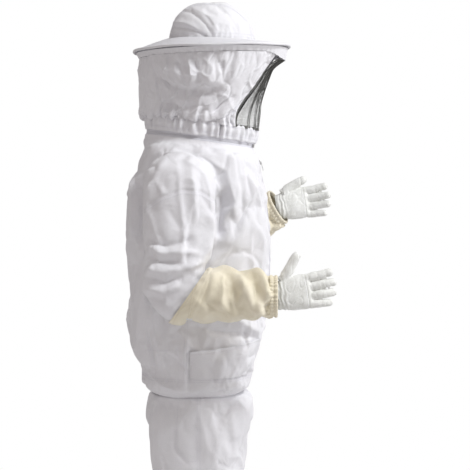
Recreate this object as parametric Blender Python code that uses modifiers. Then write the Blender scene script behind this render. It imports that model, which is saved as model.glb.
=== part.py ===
# A beekeeping suit: a jacket with a zipped-on hood, a hat and a net veil, a pair of
# gauntlet gloves and loose trousers, all in the shape they take when worn.
# Metres, +Z up. The wearer faces -Y, and the wearer's right side is at -X.
# The origin is the centre of the neck opening, where the hood zips to the collar.

from math import asin, cos, pi, radians, sin, sqrt

import bmesh
import bpy
from mathutils import Matrix, Vector

# ---- Driving dimensions ---------------------------------------------------------------

CLOTH = 0.0020              # thickness of a sewn panel with its seam allowance
SEAM_GAP = 0.0005           # clearance between two pieces that are sewn together
LAYER_GAP = 0.0008          # clearance between one layer of cloth and the next

NECK_RADIUS = 0.150         # collar opening, where hood and jacket zip together
NECK_TILT = radians(7.6)    # the opening dips towards the front
NECK_DROP = 0.008           # the collar zip's middle line lies this far under the origin
ZIP_TAPE = 0.013            # width of one side of a zip
COIL = 0.0016               # half the width of a zip's coil of teeth

TORSO_HALF_WIDTH = 0.189    # jacket, side seam to middle
FRONT_ARC = 1.05            # the jacket front is one long arc, and its zip runs along it
FRONT_BULGE_Z = -0.330      # height of the fullest point of the front
FRONT_BULGE = NECK_RADIUS + 0.046    # how far forward that point is
BACK_DEPTH = NECK_RADIUS + 0.047     # how far back the back reaches
HEM_SEAM_Z = -0.655         # where the hem casing is sewn on
HEM_DEPTH = 0.050           # height of the bloused hem casing
HEM_TUCK = 0.040            # how far the elastic pulls the hem in

SHOULDER_Y = 0.050          # middle of the armhole
SHOULDER_Z = -0.140
ARMHOLE_RADIUS = 0.097
ARMHOLE_X = TORSO_HALF_WIDTH + 0.0025    # the plane where the sleeve meets the armhole
SLEEVE_DEPTH = ARMHOLE_RADIUS + 0.001    # half the sleeve, front to back

GAUNTLET_HALF_WIDTH = 0.066
GAUNTLET_HALF_HEIGHT = GAUNTLET_HALF_WIDTH + 0.005
WRIST_HALF_HEIGHT = 0.053
WRIST_HALF_WIDTH = 0.042
WRIST_NEST = 0.016          # the hand's leather starts this far inside the wristband
FOREARM_RADIUS = GAUNTLET_HALF_WIDTH - 0.012    # the sleeve inside the gauntlet
CUFF_RADIUS = WRIST_HALF_WIDTH - 0.002
PALM_HALF_WIDTH = 0.046     # across the knuckles
PALM_HALF_DEPTH = 0.021
LEATHER = 0.0020
FINGER_RADIUS = 0.0108
FINGER_LENGTH = 0.084

BRIM_RADIUS = 0.217
BRIM_DROP = 0.018           # the brim slopes down by this much to its rim
CROWN_RADIUS = 0.118
CROWN_HEIGHT = 0.113
CROWN_BASE_Z = 0.257
HAT_Y = -0.033              # the hat sits forward of the neck's middle
HAT_TILT = radians(-2.0)
BRIM_WALL = 0.0030
RIM_WIRE = 0.0032           # radius of the bound rim
ROUND_STEPS = 32            # facets round the hat and the neck

WAIST_Z = -0.460
CROTCH_Z = -0.778
KNEE_Z = -1.000
ANKLE_Z = -1.385
WAIST_EASE = 0.029          # the waistband is this much narrower than the jacket round it
WAIST_HALF_WIDTH = TORSO_HALF_WIDTH - WAIST_EASE
WAIST_HALF_DEPTH = 0.118
LEG_HALF_WIDTH = 0.088
LEG_HALF_DEPTH = 0.128
LEG_X = 0.0925              # middle of each leg
ANKLE_RADIUS = 0.060
ANKLE_CUFF = 0.030          # height of the gathered ankle cuff

RIGHT = -1
LEFT = 1
NAMES = {RIGHT: "right", LEFT: "left"}


# ---- Scene and small helpers ----------------------------------------------------------

def start_scene():
    for old in list(bpy.data.objects):
        bpy.data.objects.remove(old, do_unlink=True)
    parts = bpy.data.collections.new("beekeeping_suit")
    cutters = bpy.data.collections.new("cutters")
    bpy.context.scene.collection.children.link(parts)
    bpy.context.scene.collection.children.link(cutters)
    return parts, cutters


PARTS, CUTTERS = start_scene()

WHITE = (0.86, 0.87, 0.92)
CREAM = (0.84, 0.80, 0.66)
HIDE = (0.80, 0.80, 0.76)
RUBBER = (0.70, 0.70, 0.66)
TAPE = (0.84, 0.85, 0.88)
NET = (0.03, 0.03, 0.035)
METAL = (0.62, 0.62, 0.60)


def paint(piece, colour, roughness=0.85, metallic=0.0):
    material = bpy.data.materials.new(piece.name + "_material")
    material.use_nodes = True
    shader = material.node_tree.nodes["Principled BSDF"]
    shader.inputs["Base Color"].default_value = (*colour, 1.0)
    shader.inputs["Roughness"].default_value = roughness
    shader.inputs["Metallic"].default_value = metallic
    piece.data.materials.clear()
    piece.data.materials.append(material)


def add_object(name, mesh_builder, colour=WHITE, collection=None, roughness=0.85, metallic=0.0):
    mesh = bpy.data.meshes.new(name)
    mesh_builder.to_mesh(mesh)
    mesh_builder.free()
    piece = bpy.data.objects.new(name, mesh)
    (collection or PARTS).objects.link(piece)
    for face in mesh.polygons:
        face.use_smooth = True
    paint(piece, colour, roughness, metallic)
    return piece


def thicken(piece, wall, offset=-1.0):
    solidify = piece.modifiers.new("wall", "SOLIDIFY")
    solidify.thickness = wall
    solidify.offset = offset


def boolean(piece, cutter, operation="DIFFERENCE"):
    cut = piece.modifiers.new(cutter.name, "BOOLEAN")
    cut.operation = operation
    cut.solver = "EXACT"
    cut.object = cutter
    cutter.hide_render = True
    cutter.display_type = "WIRE"


def sheet(name, rings, wall, closed=True, colour=WHITE, roughness=0.85, offset=-1.0):
    """Joins rings of points into one sheet that faces out, then gives it a wall."""
    builder = bmesh.new()
    rows = [[builder.verts.new(point) for point in ring] for ring in rings]
    steps = len(rings[0]) if closed else len(rings[0]) - 1
    for low, high in zip(rows, rows[1:]):
        for i in range(steps):
            j = (i + 1) % len(low)
            builder.faces.new((low[i], low[j], high[j], high[i]))
    middle = sum((Vector(p) for ring in rings for p in ring), Vector()) / (len(rings) * len(rings[0]))
    builder.normal_update()
    outward = sum((f.calc_center_median() - middle).dot(f.normal) * f.calc_area() for f in builder.faces)
    if outward < 0:
        bmesh.ops.reverse_faces(builder, faces=builder.faces)
    piece = add_object(name, builder, colour, roughness=roughness)
    if wall:
        thicken(piece, wall, offset)
    return piece


def solid_loft(name, rings, colour, collection=None, roughness=0.6):
    """Joins rings into one solid with flat ends."""
    builder = bmesh.new()
    rows = [[builder.verts.new(point) for point in ring] for ring in rings]
    for low, high in zip(rows, rows[1:]):
        for i in range(len(low)):
            j = (i + 1) % len(low)
            builder.faces.new((low[i], low[j], high[j], high[i]))
    builder.faces.new(rows[0])
    builder.faces.new(list(reversed(rows[-1])))
    bmesh.ops.recalc_face_normals(builder, faces=builder.faces)
    return add_object(name, builder, colour, collection, roughness)


def signed_power(value, power):
    return abs(value) ** power if value >= 0 else -(abs(value) ** power)


def oval(inner, outer, half, count=20, power=1.0, turn=None):
    """A ring of points: inner and outer are its two ends, and half its reach sideways."""
    inner, outer = Vector(inner), Vector(outer)
    centre = (inner + outer) / 2
    along = (outer - inner) / 2
    across = Vector(turn or (0, 1, 0)).normalized() * half
    points = []
    for i in range(count):
        angle = 2 * pi * i / count
        points.append(centre - along * signed_power(cos(angle), power)
                      + across * signed_power(sin(angle), power))
    return points


def between(first, second, t):
    return [a.lerp(b, t) for a, b in zip(first, second)]


def spread(first, last, count):
    return [first + (last - first) * i / count for i in range(count + 1)]


def block(name, size, place, turn, colour, roughness, metallic, round_by):
    builder = bmesh.new()
    bmesh.ops.create_cube(builder, size=1.0)
    bmesh.ops.scale(builder, vec=size, verts=builder.verts)
    bmesh.ops.transform(builder, matrix=turn.to_4x4(), verts=builder.verts)
    piece = add_object(name, builder, colour, roughness=roughness, metallic=metallic)
    piece.location = place
    bevel = piece.modifiers.new("round", "BEVEL")
    bevel.width = round_by
    bevel.segments = 2
    return piece


def turned(name, profile, steps, place, tilt, colour, wall=0.0, closed=False, roughness=0.85):
    """A profile of (radius, height) points turned about the local Z axis."""
    builder = bmesh.new()
    points = [builder.verts.new((radius, 0, height)) for radius, height in profile]
    for a, b in zip(points, points[1:]):
        builder.edges.new((a, b))
    if closed:
        builder.edges.new((points[-1], points[0]))
    piece = add_object(name, builder, colour, roughness=roughness)
    screw = piece.modifiers.new("turn", "SCREW")
    screw.steps = steps
    screw.render_steps = steps
    screw.use_merge_vertices = True
    screw.merge_threshold = 0.00005
    screw.use_normal_flip = closed
    if wall:
        thicken(piece, wall)
    piece.location = place
    piece.rotation_euler = (tilt, 0, 0)
    return piece


# ---- The neck opening -----------------------------------------------------------------

NECK = Matrix.Translation((0, 0, -NECK_DROP)) @ Matrix.Rotation(NECK_TILT, 4, "X")


def neck_point(radius, angle, height):
    """A point on a ring round the neck: angle 0 is the front, and 90 degrees the right."""
    return NECK @ Vector((-radius * sin(angle), -radius * cos(angle), height))


def neck_band(name, low, high, radius, wall, colour, steps=ROUND_STEPS, roughness=0.85):
    profile = [(radius - wall, low), (radius, low), (radius, high), (radius - wall, high)]
    return turned(name, profile, steps, (0, 0, -NECK_DROP), NECK_TILT, colour,
                  closed=True, roughness=roughness)


# ---- The jacket's body ----------------------------------------------------------------

def front_y(z):
    return FRONT_ARC - FRONT_BULGE - sqrt(FRONT_ARC ** 2 - (z - FRONT_BULGE_Z) ** 2)


# Height, slope towards the front, back depth as a share, half width as a share.
TORSO_LEVELS = [
    (-0.052, 0.080, 0.83, 0.975),
    (-0.095, 0.030, 0.90, 0.988),
    (-0.150, 0.0, 0.975, 1.0),
    (-0.240, 0.0, 1.0, 1.0),
    (-0.355, 0.0, 0.99, 0.995),
    (-0.460, 0.0, 0.965, 0.990),
    (-0.560, 0.0, 0.93, 0.982),
    (HEM_SEAM_Z, 0.0, 0.82, 0.955),
]
TORSO_SQUARENESS = 2.6


class Level:
    """One level cut through the jacket, as points by angle from the front."""

    def __init__(self, z, slope, back, width):
        self.z = z
        self.slope = slope
        self.front = front_y(z)
        self.back = BACK_DEPTH * back
        self.width = TORSO_HALF_WIDTH * width

    def point(self, angle, out=0.0):
        middle = (self.front + self.back) / 2
        half = (self.back - self.front) / 2 + out
        power = 2 / TORSO_SQUARENESS
        y = middle - half * signed_power(cos(angle), power)
        x = -(self.width + out) * signed_power(sin(angle), power)
        return Vector((x, y, self.z + self.slope * y))

    def angle_at(self, x):
        return asin((abs(x) / self.width) ** (TORSO_SQUARENESS / 2))


class NeckLevel:
    """The level at the collar seam, which is a round ring in the tilted plane."""

    def __init__(self, height):
        self.height = height

    def point(self, angle, out=0.0):
        return neck_point(NECK_RADIUS + out, angle, self.height)

    def angle_at(self, x):
        return asin(abs(x) / NECK_RADIUS)


COLLAR_SEAM = -(ZIP_TAPE + COIL + SEAM_GAP)
LEVELS = [NeckLevel(COLLAR_SEAM)] + [Level(*row) for row in TORSO_LEVELS]
HALF_ZIP = ZIP_TAPE + COIL + SEAM_GAP
SEAM_ANGLE = SEAM_GAP / TORSO_HALF_WIDTH


# The edges of the panels, as the angle from the front at each level.

def side_seam(level):
    return pi / 2 - SEAM_ANGLE


def back_seam(level):
    return pi / 2 + SEAM_ANGLE


def far_back_seam(level):
    return 3 * pi / 2 - SEAM_ANGLE


def zip_edge(level):
    return level.angle_at(HALF_ZIP)


def tape_inner(level):
    return level.angle_at(COIL)


def tape_outer(level):
    return level.angle_at(HALF_ZIP - SEAM_GAP)


def torso_panel(name, begin, end, count, side, wall=CLOTH, colour=WHITE):
    rings = []
    for level in LEVELS:
        rings.append([level.point(-side * angle) for angle in spread(begin(level), end(level), count)])
    return sheet(name, rings, wall, closed=False, colour=colour)


def armhole_cutter(side):
    builder = bmesh.new()
    bmesh.ops.create_cone(builder, cap_ends=True, segments=40, radius1=ARMHOLE_RADIUS + LAYER_GAP,
                          radius2=ARMHOLE_RADIUS + LAYER_GAP, depth=0.16)
    bmesh.ops.rotate(builder, matrix=Matrix.Rotation(pi / 2, 3, "Y"), verts=builder.verts)
    cutter = add_object("armhole_cutter_" + NAMES[side], builder, collection=CUTTERS)
    cutter.location = (side * (ARMHOLE_X - 0.020), SHOULDER_Y, SHOULDER_Z)
    return cutter


def armhole_band(side):
    """The facing sewn round the armhole, between the body and the sleeve."""
    rings = []
    for x in (ARMHOLE_X - 0.044, ARMHOLE_X - 0.022, ARMHOLE_X - SEAM_GAP):
        rings.append(oval((side * x, SHOULDER_Y, SHOULDER_Z - ARMHOLE_RADIUS),
                          (side * x, SHOULDER_Y, SHOULDER_Z + ARMHOLE_RADIUS), ARMHOLE_RADIUS, 32))
    sheet("armhole_facing_" + NAMES[side], rings, CLOTH)


POCKET = {"front": radians(26), "side": radians(84), "front_height": 0.098, "side_height": 0.073,
          "above_hem": 0.004}


def pocket(side):
    """A patch pocket: a second layer on the front, open along its slanted top."""
    low = HEM_SEAM_Z + POCKET["above_hem"]
    angles = spread(POCKET["front"], POCKET["side"], 6)
    tops = spread(HEM_SEAM_Z + POCKET["front_height"], HEM_SEAM_Z + POCKET["side_height"], 6)
    rows = []
    for t in spread(0.0, 1.0, 4):
        rows.append([level_at(top + (low - top) * t).point(-side * angle, LAYER_GAP + CLOTH)
                     for angle, top in zip(angles, tops)])
    sheet("front_pocket_" + NAMES[side], rows, CLOTH, closed=False)


def level_at(z):
    """The level at any height between two of the listed ones."""
    for upper, lower in zip(TORSO_LEVELS, TORSO_LEVELS[1:]):
        if lower[0] <= z <= upper[0]:
            t = (upper[0] - z) / (upper[0] - lower[0])
            share = [a + (b - a) * t for a, b in zip(upper, lower)]
            return Level(z, share[1], share[2], share[3])
    return Level(z, *TORSO_LEVELS[-1][1:])


def jacket_body():
    cutters = {side: armhole_cutter(side) for side in (RIGHT, LEFT)}
    for side in (RIGHT, LEFT):
        front = torso_panel("jacket_front_" + NAMES[side], zip_edge, side_seam, 7, side)
        boolean(front, cutters[side])
        armhole_band(side)
        pocket(side)
        torso_panel("front_zip_tape_" + NAMES[side], tape_inner, tape_outer, 1, side, CLOTH / 2, TAPE)
    back = torso_panel("jacket_back", back_seam, far_back_seam, 14, RIGHT)
    for cutter in cutters.values():
        boolean(back, cutter)


def hem_ring(z, tuck, out=0.0):
    level = Level(HEM_SEAM_Z, *TORSO_LEVELS[-1][1:])
    ring = []
    for i in range(ROUND_STEPS):
        point = level.point(2 * pi * i / ROUND_STEPS, out - tuck)
        ring.append(Vector((point.x, point.y, z)))
    return ring


def hem():
    top = HEM_SEAM_Z - SEAM_GAP * 4
    casing = [hem_ring(top, 0.0)]
    for i in range(1, 4):
        t = i / 3
        casing.append(hem_ring(top - HEM_DEPTH * t, HEM_TUCK * t * t))
    sheet("hem_casing", casing, CLOTH)
    inside = HEM_TUCK + CLOTH + LAYER_GAP
    low = top - HEM_DEPTH
    elastic = [hem_ring(low + 0.020, inside - 0.003), hem_ring(low, inside + 0.003)]
    sheet("hem_elastic", elastic, CLOTH * 0.7, colour=RUBBER)


# ---- Zips -----------------------------------------------------------------------------

SLIDER = (0.009, 0.0045, 0.013)      # a zip slider: width, thickness, length
PULL = (0.006, 0.0014, 0.026)
SLIDER_START_Z = -0.075


def front_zip():
    """The slider runs along the front's long arc, so it turns about the arc's centre."""
    centre_y = FRONT_ARC - FRONT_BULGE
    angle = asin((SLIDER_START_Z - FRONT_BULGE_Z) / FRONT_ARC)
    turn = Matrix.Rotation(-angle, 3, "X")
    reach = FRONT_ARC + LAYER_GAP + SLIDER[1] / 2
    place = Vector((0, centre_y, FRONT_BULGE_Z)) + turn @ Vector((0, -reach, 0))
    block("front_zip_slider", SLIDER, place, turn, METAL, 0.35, 1.0, 0.0012)
    hinge = turn @ Vector((0, -(SLIDER[1] / 2 + LAYER_GAP + PULL[1] / 2), 0.002))
    drop = turn @ Vector((0, 0, -PULL[2] / 2))
    block("front_zip_pull", PULL, place + hinge + drop, turn, METAL, 0.35, 1.0, 0.0005)


def collar_zip():
    """Two tapes round the neck, and a slider on each side of the front."""
    neck_band("collar_zip_lower", COLLAR_SEAM + SEAM_GAP, -COIL, NECK_RADIUS, CLOTH, TAPE)
    neck_band("collar_zip_upper", COIL, -COLLAR_SEAM - SEAM_GAP, NECK_RADIUS, CLOTH, TAPE)
    for side in (RIGHT, LEFT):
        angle = -side * radians(12)
        turn = NECK.to_3x3() @ Matrix.Rotation(-angle, 3, "Z") @ Matrix.Rotation(pi / 2, 3, "Y")
        place = neck_point(NECK_RADIUS + LAYER_GAP + SLIDER[1] / 2, angle, 0)
        block("collar_zip_slider_" + NAMES[side], SLIDER, place, turn, METAL, 0.35, 1.0, 0.0012)


# ---- Hood: hat, veil and neck casing --------------------------------------------------

def hat():
    inner = CROWN_RADIUS
    crown = [(inner * cos(radians(a)), CROWN_HEIGHT * sin(radians(a)) ** 0.9) for a in range(0, 90, 15)]
    crown.append((0.0, CROWN_HEIGHT))
    place = (0, HAT_Y, CROWN_BASE_Z)
    crown.reverse()
    turned("hat_crown", crown, ROUND_STEPS, place, HAT_TILT, WHITE, wall=CLOTH)
    start = inner + SEAM_GAP
    low = BRIM_WALL
    brim = [
        (start, low), (start, 0.0), ((start + BRIM_RADIUS) / 2, -BRIM_DROP * 0.4),
        (BRIM_RADIUS - RIM_WIRE, -BRIM_DROP), (BRIM_RADIUS - RIM_WIRE, low - BRIM_DROP),
        ((start + BRIM_RADIUS) / 2, low - BRIM_DROP * 0.4),
    ]
    turned("hat_brim", brim, ROUND_STEPS, place, HAT_TILT, WHITE, closed=True)
    rim = []
    for i in range(6):
        angle = 2 * pi * i / 6
        rim.append((BRIM_RADIUS + SEAM_GAP + RIM_WIRE * cos(angle),
                    BRIM_WALL / 2 - BRIM_DROP + RIM_WIRE * sin(angle)))
    turned("brim_binding", rim, ROUND_STEPS, place, HAT_TILT, WHITE, closed=True)


VEIL_TOP_Z = CROWN_BASE_Z - BRIM_DROP - 0.010
VEIL_TOP_RADIUS = BRIM_RADIUS - 0.010
# Height, how much of the way from the neck's radius to the brim's, how much further the
# veil reaches at the front and at the back, and half the angle that the net takes up.
VEIL_LEVELS = [
    (0.187, 0.70, 0.016, -0.018, radians(26)),
    (0.162, 0.60, 0.009, -0.013, radians(29)),
    (0.133, 0.49, 0.004, -0.010, radians(35)),
    (0.092, 0.35, -0.001, -0.007, radians(45)),
    (0.059, 0.21, 0.003, -0.004, radians(52)),
]
NECK_CASING = 0.030         # height of the casing sewn round the hood's foot


def veil_point(row, angle):
    z, share, front_more, back_more = row[:4]
    width = NECK_RADIUS + (VEIL_TOP_RADIUS - NECK_RADIUS) * share
    front, back = -width - front_more, width + back_more
    middle, half = (front + back) / 2, (back - front) / 2
    return Vector((-width * sin(angle), middle - half * cos(angle), z))


def brim_ring(angle, drop, inset):
    """A ring just under the brim, following the hat's tilt."""
    radius = VEIL_TOP_RADIUS - inset
    local = Vector((-radius * sin(angle), -radius * cos(angle), VEIL_TOP_Z - CROWN_BASE_Z - drop))
    return Matrix.Rotation(HAT_TILT, 3, "X") @ local + Vector((0, HAT_Y, CROWN_BASE_Z))


CASING_LOW = -COLLAR_SEAM
NET_TOP_DROP = 0.026        # height of the cloth band between the brim and the veil
TOP_BAND_INSET = 0.012      # how far that band draws in
CASING_OUT = 0.006          # how far the gathered casing stands out from the zip
BINDING_WIDTH = 0.012
BINDING = 0.0014            # thickness of the tape that binds the net's edges


def whole_turn(net):
    return 2 * pi - net


def veil_strip(name, first, last, count, wall, colour=WHITE):
    """A part of the veil; first and last give its two edges, as angles, from the net's."""
    edges = [VEIL_LEVELS[0][4]] + [row[4] for row in VEIL_LEVELS] + [VEIL_LEVELS[-1][4]]
    angles = [spread(first(net), last(net), count) for net in edges]
    listed = [[brim_ring(a, NET_TOP_DROP + SEAM_GAP * 5, TOP_BAND_INSET + 0.001) for a in angles[0]]]
    for row, row_angles in zip(VEIL_LEVELS, angles[1:]):
        listed.append([veil_point(row, a) for a in row_angles])
    listed.append([neck_point(NECK_RADIUS + CASING_OUT, a, CASING_LOW + NECK_CASING + SEAM_GAP)
                   for a in angles[-1]])
    sheet(name, listed, wall, closed=False, colour=colour)


def veil():
    around = [2 * pi * i / ROUND_STEPS for i in range(ROUND_STEPS)]
    band = [[brim_ring(a, drop, inset) for a in around]
            for drop, inset in ((0.0, 0.0), (NET_TOP_DROP / 2, TOP_BAND_INSET / 2),
                                (NET_TOP_DROP, TOP_BAND_INSET))]
    sheet("veil_top_band", band, CLOTH)
    gap = SEAM_GAP * 2 / NECK_RADIUS
    tape = BINDING_WIDTH / NECK_RADIUS
    veil_strip("veil_fabric", lambda net: net + gap, lambda net: whole_turn(net) - gap, 24, CLOTH)
    veil_strip("veil_net", lambda net: tape - net, lambda net: net - tape, 8, CLOTH / 2, NET)
    veil_strip("net_binding_right", lambda net: net - tape + gap, lambda net: net, 1, BINDING, NET)
    veil_strip("net_binding_left", lambda net: -net, lambda net: tape - gap - net, 1, BINDING, NET)
    casing = [[neck_point(NECK_RADIUS + out, a, CASING_LOW + h) for a in around]
              for h, out in ((0.0, 0.0), (NECK_CASING / 2, CASING_OUT + 0.001), (NECK_CASING, CASING_OUT))]
    sheet("neck_casing", casing, CLOTH)
    neck_band("neck_elastic", CASING_LOW + 0.002, CASING_LOW + 0.014,
              NECK_RADIUS - CLOTH - LAYER_GAP, CLOTH * 0.7, RUBBER)


# ---- Arms -----------------------------------------------------------------------------

# Points are measured from the middle of the armhole, with x going away from the body.
# Each ring is given by its inner and its outer end.
ARMS = {
    RIGHT: {
        "cap": [((0.0045, 0.0, -0.099), (0.0705, 0.0, 0.064)),
                ((0.0085, 0.0, -0.101), (0.1115, 0.0, -0.006))],
        "end": ((0.0165, 0.008, -0.172), (0.1365, 0.008, -0.172)),
        "end_taper": 0.010,
        "down": (0.0, 0.0, -1.0),
        "elbow": (0.0835, 0.010, -0.288),
        "forward": (0.0, -1.0, 0.0),
        "hand": (0.0, -0.985, 0.174),
        "mouth_ahead": 0.035,
        "mouth_slant": 0.69,
    },
    LEFT: {
        "cap": [((0.0065, -0.001, -0.098), (0.0665, -0.002, 0.070)),
                ((0.0165, -0.003, -0.104), (0.1105, -0.006, 0.030))],
        "end": ((0.0805, -0.024, -0.156), (0.1665, -0.024, -0.066)),
        "end_taper": 0.018,
        "down": (0.717, -0.154, -0.681),
        "elbow": (0.2135, -0.056, -0.196),
        "forward": (-0.279, -0.827, 0.488),
        "hand": (-0.05, -0.985, 0.165),
        "mouth_ahead": 0.116,
        "mouth_slant": 0.0,
    },
}
WRIST_AHEAD = 0.268         # the glove's wrist, forward from the elbow's axis
SLEEVE_INSIDE = 0.006       # the sleeve's elbow cloth ends this far inside the gauntlet
SLEEVE_END_HALF = GAUNTLET_HALF_WIDTH - 0.010    # half the sleeve where it enters the gauntlet
ELBOW_ROUND = 0.36          # how far the elbow's cloth bulges at the bend
ARM_RING = 16
SLEEVE_SQUARENESS = 0.92
GUSSET_TOP = 0.045          # height of the sleeve just above the elbow's cloth


def from_armhole(side, point):
    return Vector((side * (ARMHOLE_X + point[0]), SHOULDER_Y + point[1], SHOULDER_Z + point[2]))


class Arm:
    """The frame of one forearm and the rings along it."""

    def __init__(self, side):
        self.side = side
        shape = ARMS[side]
        self.elbow = from_armhole(side, shape["elbow"])
        self.forward = Vector(shape["forward"]).normalized()
        self.forward.x *= 1 if side == LEFT else -1
        self.up = (Vector((0, 0, 1)) - self.forward * self.forward.z).normalized()
        self.out = self.forward.cross(self.up).normalized()
        self.down = Vector(shape["down"]).normalized()
        self.mouth = shape["mouth_ahead"]
        self.slant = shape["mouth_slant"]
        self.hand = Vector(shape["hand"]).normalized()

    def share(self, t):
        """A distance part of the way from the gauntlet's mouth to the wrist."""
        return self.mouth + (WRIST_AHEAD - self.mouth) * t

    def ring(self, ahead, half_up, half_out, slant=0.0):
        """A ring across the forearm; a slanted one has its lower edge further back."""
        centre = self.elbow + self.forward * ahead
        low = centre - self.up * half_up - self.forward * half_up * slant
        high = centre + self.up * half_up + self.forward * half_up * slant
        return oval(low, high, half_out, ARM_RING, turn=self.out)


def sleeve_start(side, out, ahead=0.0):
    x = side * (ARMHOLE_X + SEAM_GAP + ahead)
    return oval((x, SHOULDER_Y, SHOULDER_Z - out), (x, SHOULDER_Y, SHOULDER_Z + out), out, ARM_RING)


def upper_arm(side):
    """The dropped shoulder cap, and the sleeve below its seam."""
    shape = ARMS[side]
    cap = [oval(from_armhole(side, a), from_armhole(side, b), SLEEVE_DEPTH, ARM_RING)
           for a, b in shape["cap"]]
    end = oval(*(from_armhole(side, p) for p in shape["end"]),
               SLEEVE_DEPTH - shape["end_taper"], ARM_RING, SLEEVE_SQUARENESS)
    start = [sleeve_start(side, ARMHOLE_RADIUS), sleeve_start(side, ARMHOLE_RADIUS, CLOTH)]
    sheet("shoulder_cap_" + NAMES[side], start + cap, CLOTH)
    down = Vector(shape["down"]).normalized()
    down.x = side * abs(down.x)
    seam = [p + down * SEAM_GAP * 4 for p in cap[1]]
    start = [p - down * GUSSET_TOP for p in end]
    sheet("upper_sleeve_" + NAMES[side], [seam, between(seam, start, 0.5), start, end], CLOTH)
    return end, down


def elbow_gusset(arm, end, down):
    """The cloth that folds at the elbow, from the upper sleeve into the gauntlet."""
    start = [p + down * SEAM_GAP * 2 for p in end]
    goal = arm.ring(arm.mouth + SLEEVE_INSIDE, SLEEVE_END_HALF, SLEEVE_END_HALF, arm.slant)
    shifted = best_turn(start, goal)
    rings = []
    for i in range(8):
        t = i / 7
        ring = []
        for a, b in zip(start, shifted):
            reach = (b - a).length * ELBOW_ROUND
            first, second = a + down * reach, b - arm.forward * reach
            ring.append(a * (1 - t) ** 3 + first * 3 * t * (1 - t) ** 2
                        + second * 3 * t * t * (1 - t) + b * t ** 3)
        rings.append(ring)
    sheet("elbow_gusset_" + NAMES[arm.side], rings, CLOTH)


def best_turn(first, second):
    """Reorders the second ring so that its points face the first ring's points."""
    count = len(first)
    options = []
    for order in (second, list(reversed(second))):
        for shift in range(count):
            turned_ring = order[shift:] + order[:shift]
            cost = sum((a - b).length for a, b in zip(first, turned_ring))
            options.append((cost, shift, turned_ring))
    return min(options, key=lambda item: item[0])[2]


def forearm(arm):
    name = NAMES[arm.side]
    start = arm.ring(arm.mouth + SLEEVE_INSIDE + SEAM_GAP * 4, SLEEVE_END_HALF, SLEEVE_END_HALF, arm.slant)
    rings = [start, arm.ring(arm.share(0.30), FOREARM_RADIUS, FOREARM_RADIUS, arm.slant / 2),
             arm.ring(arm.share(0.55), FOREARM_RADIUS * 0.9, FOREARM_RADIUS * 0.88),
             arm.ring(WRIST_AHEAD - 0.050, CUFF_RADIUS, CUFF_RADIUS)]
    sheet("forearm_sleeve_" + name, rings, CLOTH)
    cuff = [arm.ring(WRIST_AHEAD - 0.050 + SEAM_GAP * 2, CUFF_RADIUS, CUFF_RADIUS),
            arm.ring(WRIST_AHEAD - 0.026, CUFF_RADIUS - 0.004, CUFF_RADIUS - 0.004)]
    sheet("sleeve_cuff_" + name, cuff, CLOTH, colour=WHITE)


def glove(arm):
    name = NAMES[arm.side]
    mouth = arm.ring(arm.mouth, GAUNTLET_HALF_HEIGHT, GAUNTLET_HALF_WIDTH, arm.slant)
    wrist = arm.ring(WRIST_AHEAD - 0.018, WRIST_HALF_HEIGHT, WRIST_HALF_WIDTH)
    rings = [mouth,
             arm.ring(arm.share(0.28), GAUNTLET_HALF_HEIGHT - 0.002, GAUNTLET_HALF_WIDTH - 0.001,
                      arm.slant * 0.4),
             arm.ring(arm.share(0.54), GAUNTLET_HALF_HEIGHT - 0.006, GAUNTLET_HALF_WIDTH - 0.004),
             arm.ring(arm.share(0.78), WRIST_HALF_HEIGHT + 0.008, WRIST_HALF_WIDTH + 0.010), wrist]
    sheet("gauntlet_" + name, rings, CLOTH, colour=CREAM)
    band = [arm.ring(WRIST_AHEAD - 0.018 + SEAM_GAP * 2, WRIST_HALF_HEIGHT, WRIST_HALF_WIDTH),
            arm.ring(WRIST_AHEAD, WRIST_HALF_HEIGHT - 0.001, WRIST_HALF_WIDTH - 0.002)]
    sheet("gauntlet_wristband_" + name, band, CLOTH, colour=CREAM)
    hand(arm)


PALM_LENGTH = 0.076
KNUCKLE_GAP = 0.004
FINGERS = (("index", 0.92, 1.0), ("middle", 1.0, 1.0), ("ring", 0.94, 0.97), ("little", 0.76, 0.90))
HAND_RING = 16


def hand_frame(arm):
    """The wrist's middle, and the hand's forward, thumb and outward directions."""
    wrist = arm.elbow + arm.forward * WRIST_AHEAD
    ahead = arm.hand
    thumb = (Vector((0, 0, 1)) - ahead * ahead.z).normalized()
    return wrist, ahead, thumb, ahead.cross(thumb).normalized()


def hand_ring(frame, ahead, half_up, half_out, lift=0.0, power=0.85):
    wrist, forward, thumb, out = frame
    centre = wrist + forward * ahead + thumb * lift
    return oval(centre - thumb * half_up, centre + thumb * half_up, half_out, HAND_RING, power, out)


def hand(arm):
    frame = hand_frame(arm)
    name = NAMES[arm.side]
    palm = [hand_ring(frame, 0.002, WRIST_HALF_HEIGHT - WRIST_NEST, WRIST_HALF_WIDTH - WRIST_NEST),
            hand_ring(frame, 0.034, PALM_HALF_WIDTH * 0.95, PALM_HALF_DEPTH * 1.15),
            hand_ring(frame, 0.055, PALM_HALF_WIDTH, PALM_HALF_DEPTH),
            hand_ring(frame, PALM_LENGTH, PALM_HALF_WIDTH, PALM_HALF_DEPTH * 0.85)]
    sheet("glove_palm_" + name, palm, LEATHER, colour=HIDE, roughness=0.6)
    fingers(arm, frame)
    thumb_stall(arm, frame)


def stall(name, base, direction, across, length, radius, collection=None):
    """One finger: a tapered round stall with a domed tip."""
    rings = []
    shape = ((0.0, 1.0), (0.35, 1.0), (0.7, 0.96), (0.88, 0.84), (0.97, 0.55), (1.0, 0.22))
    other = direction.cross(across).normalized()
    for along, size in shape:
        centre = base + direction * length * along
        rings.append(oval(centre - across * radius * size, centre + across * radius * size,
                          radius * size, 10, turn=other))
    return solid_loft(name, rings, HIDE, collection)


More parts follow.
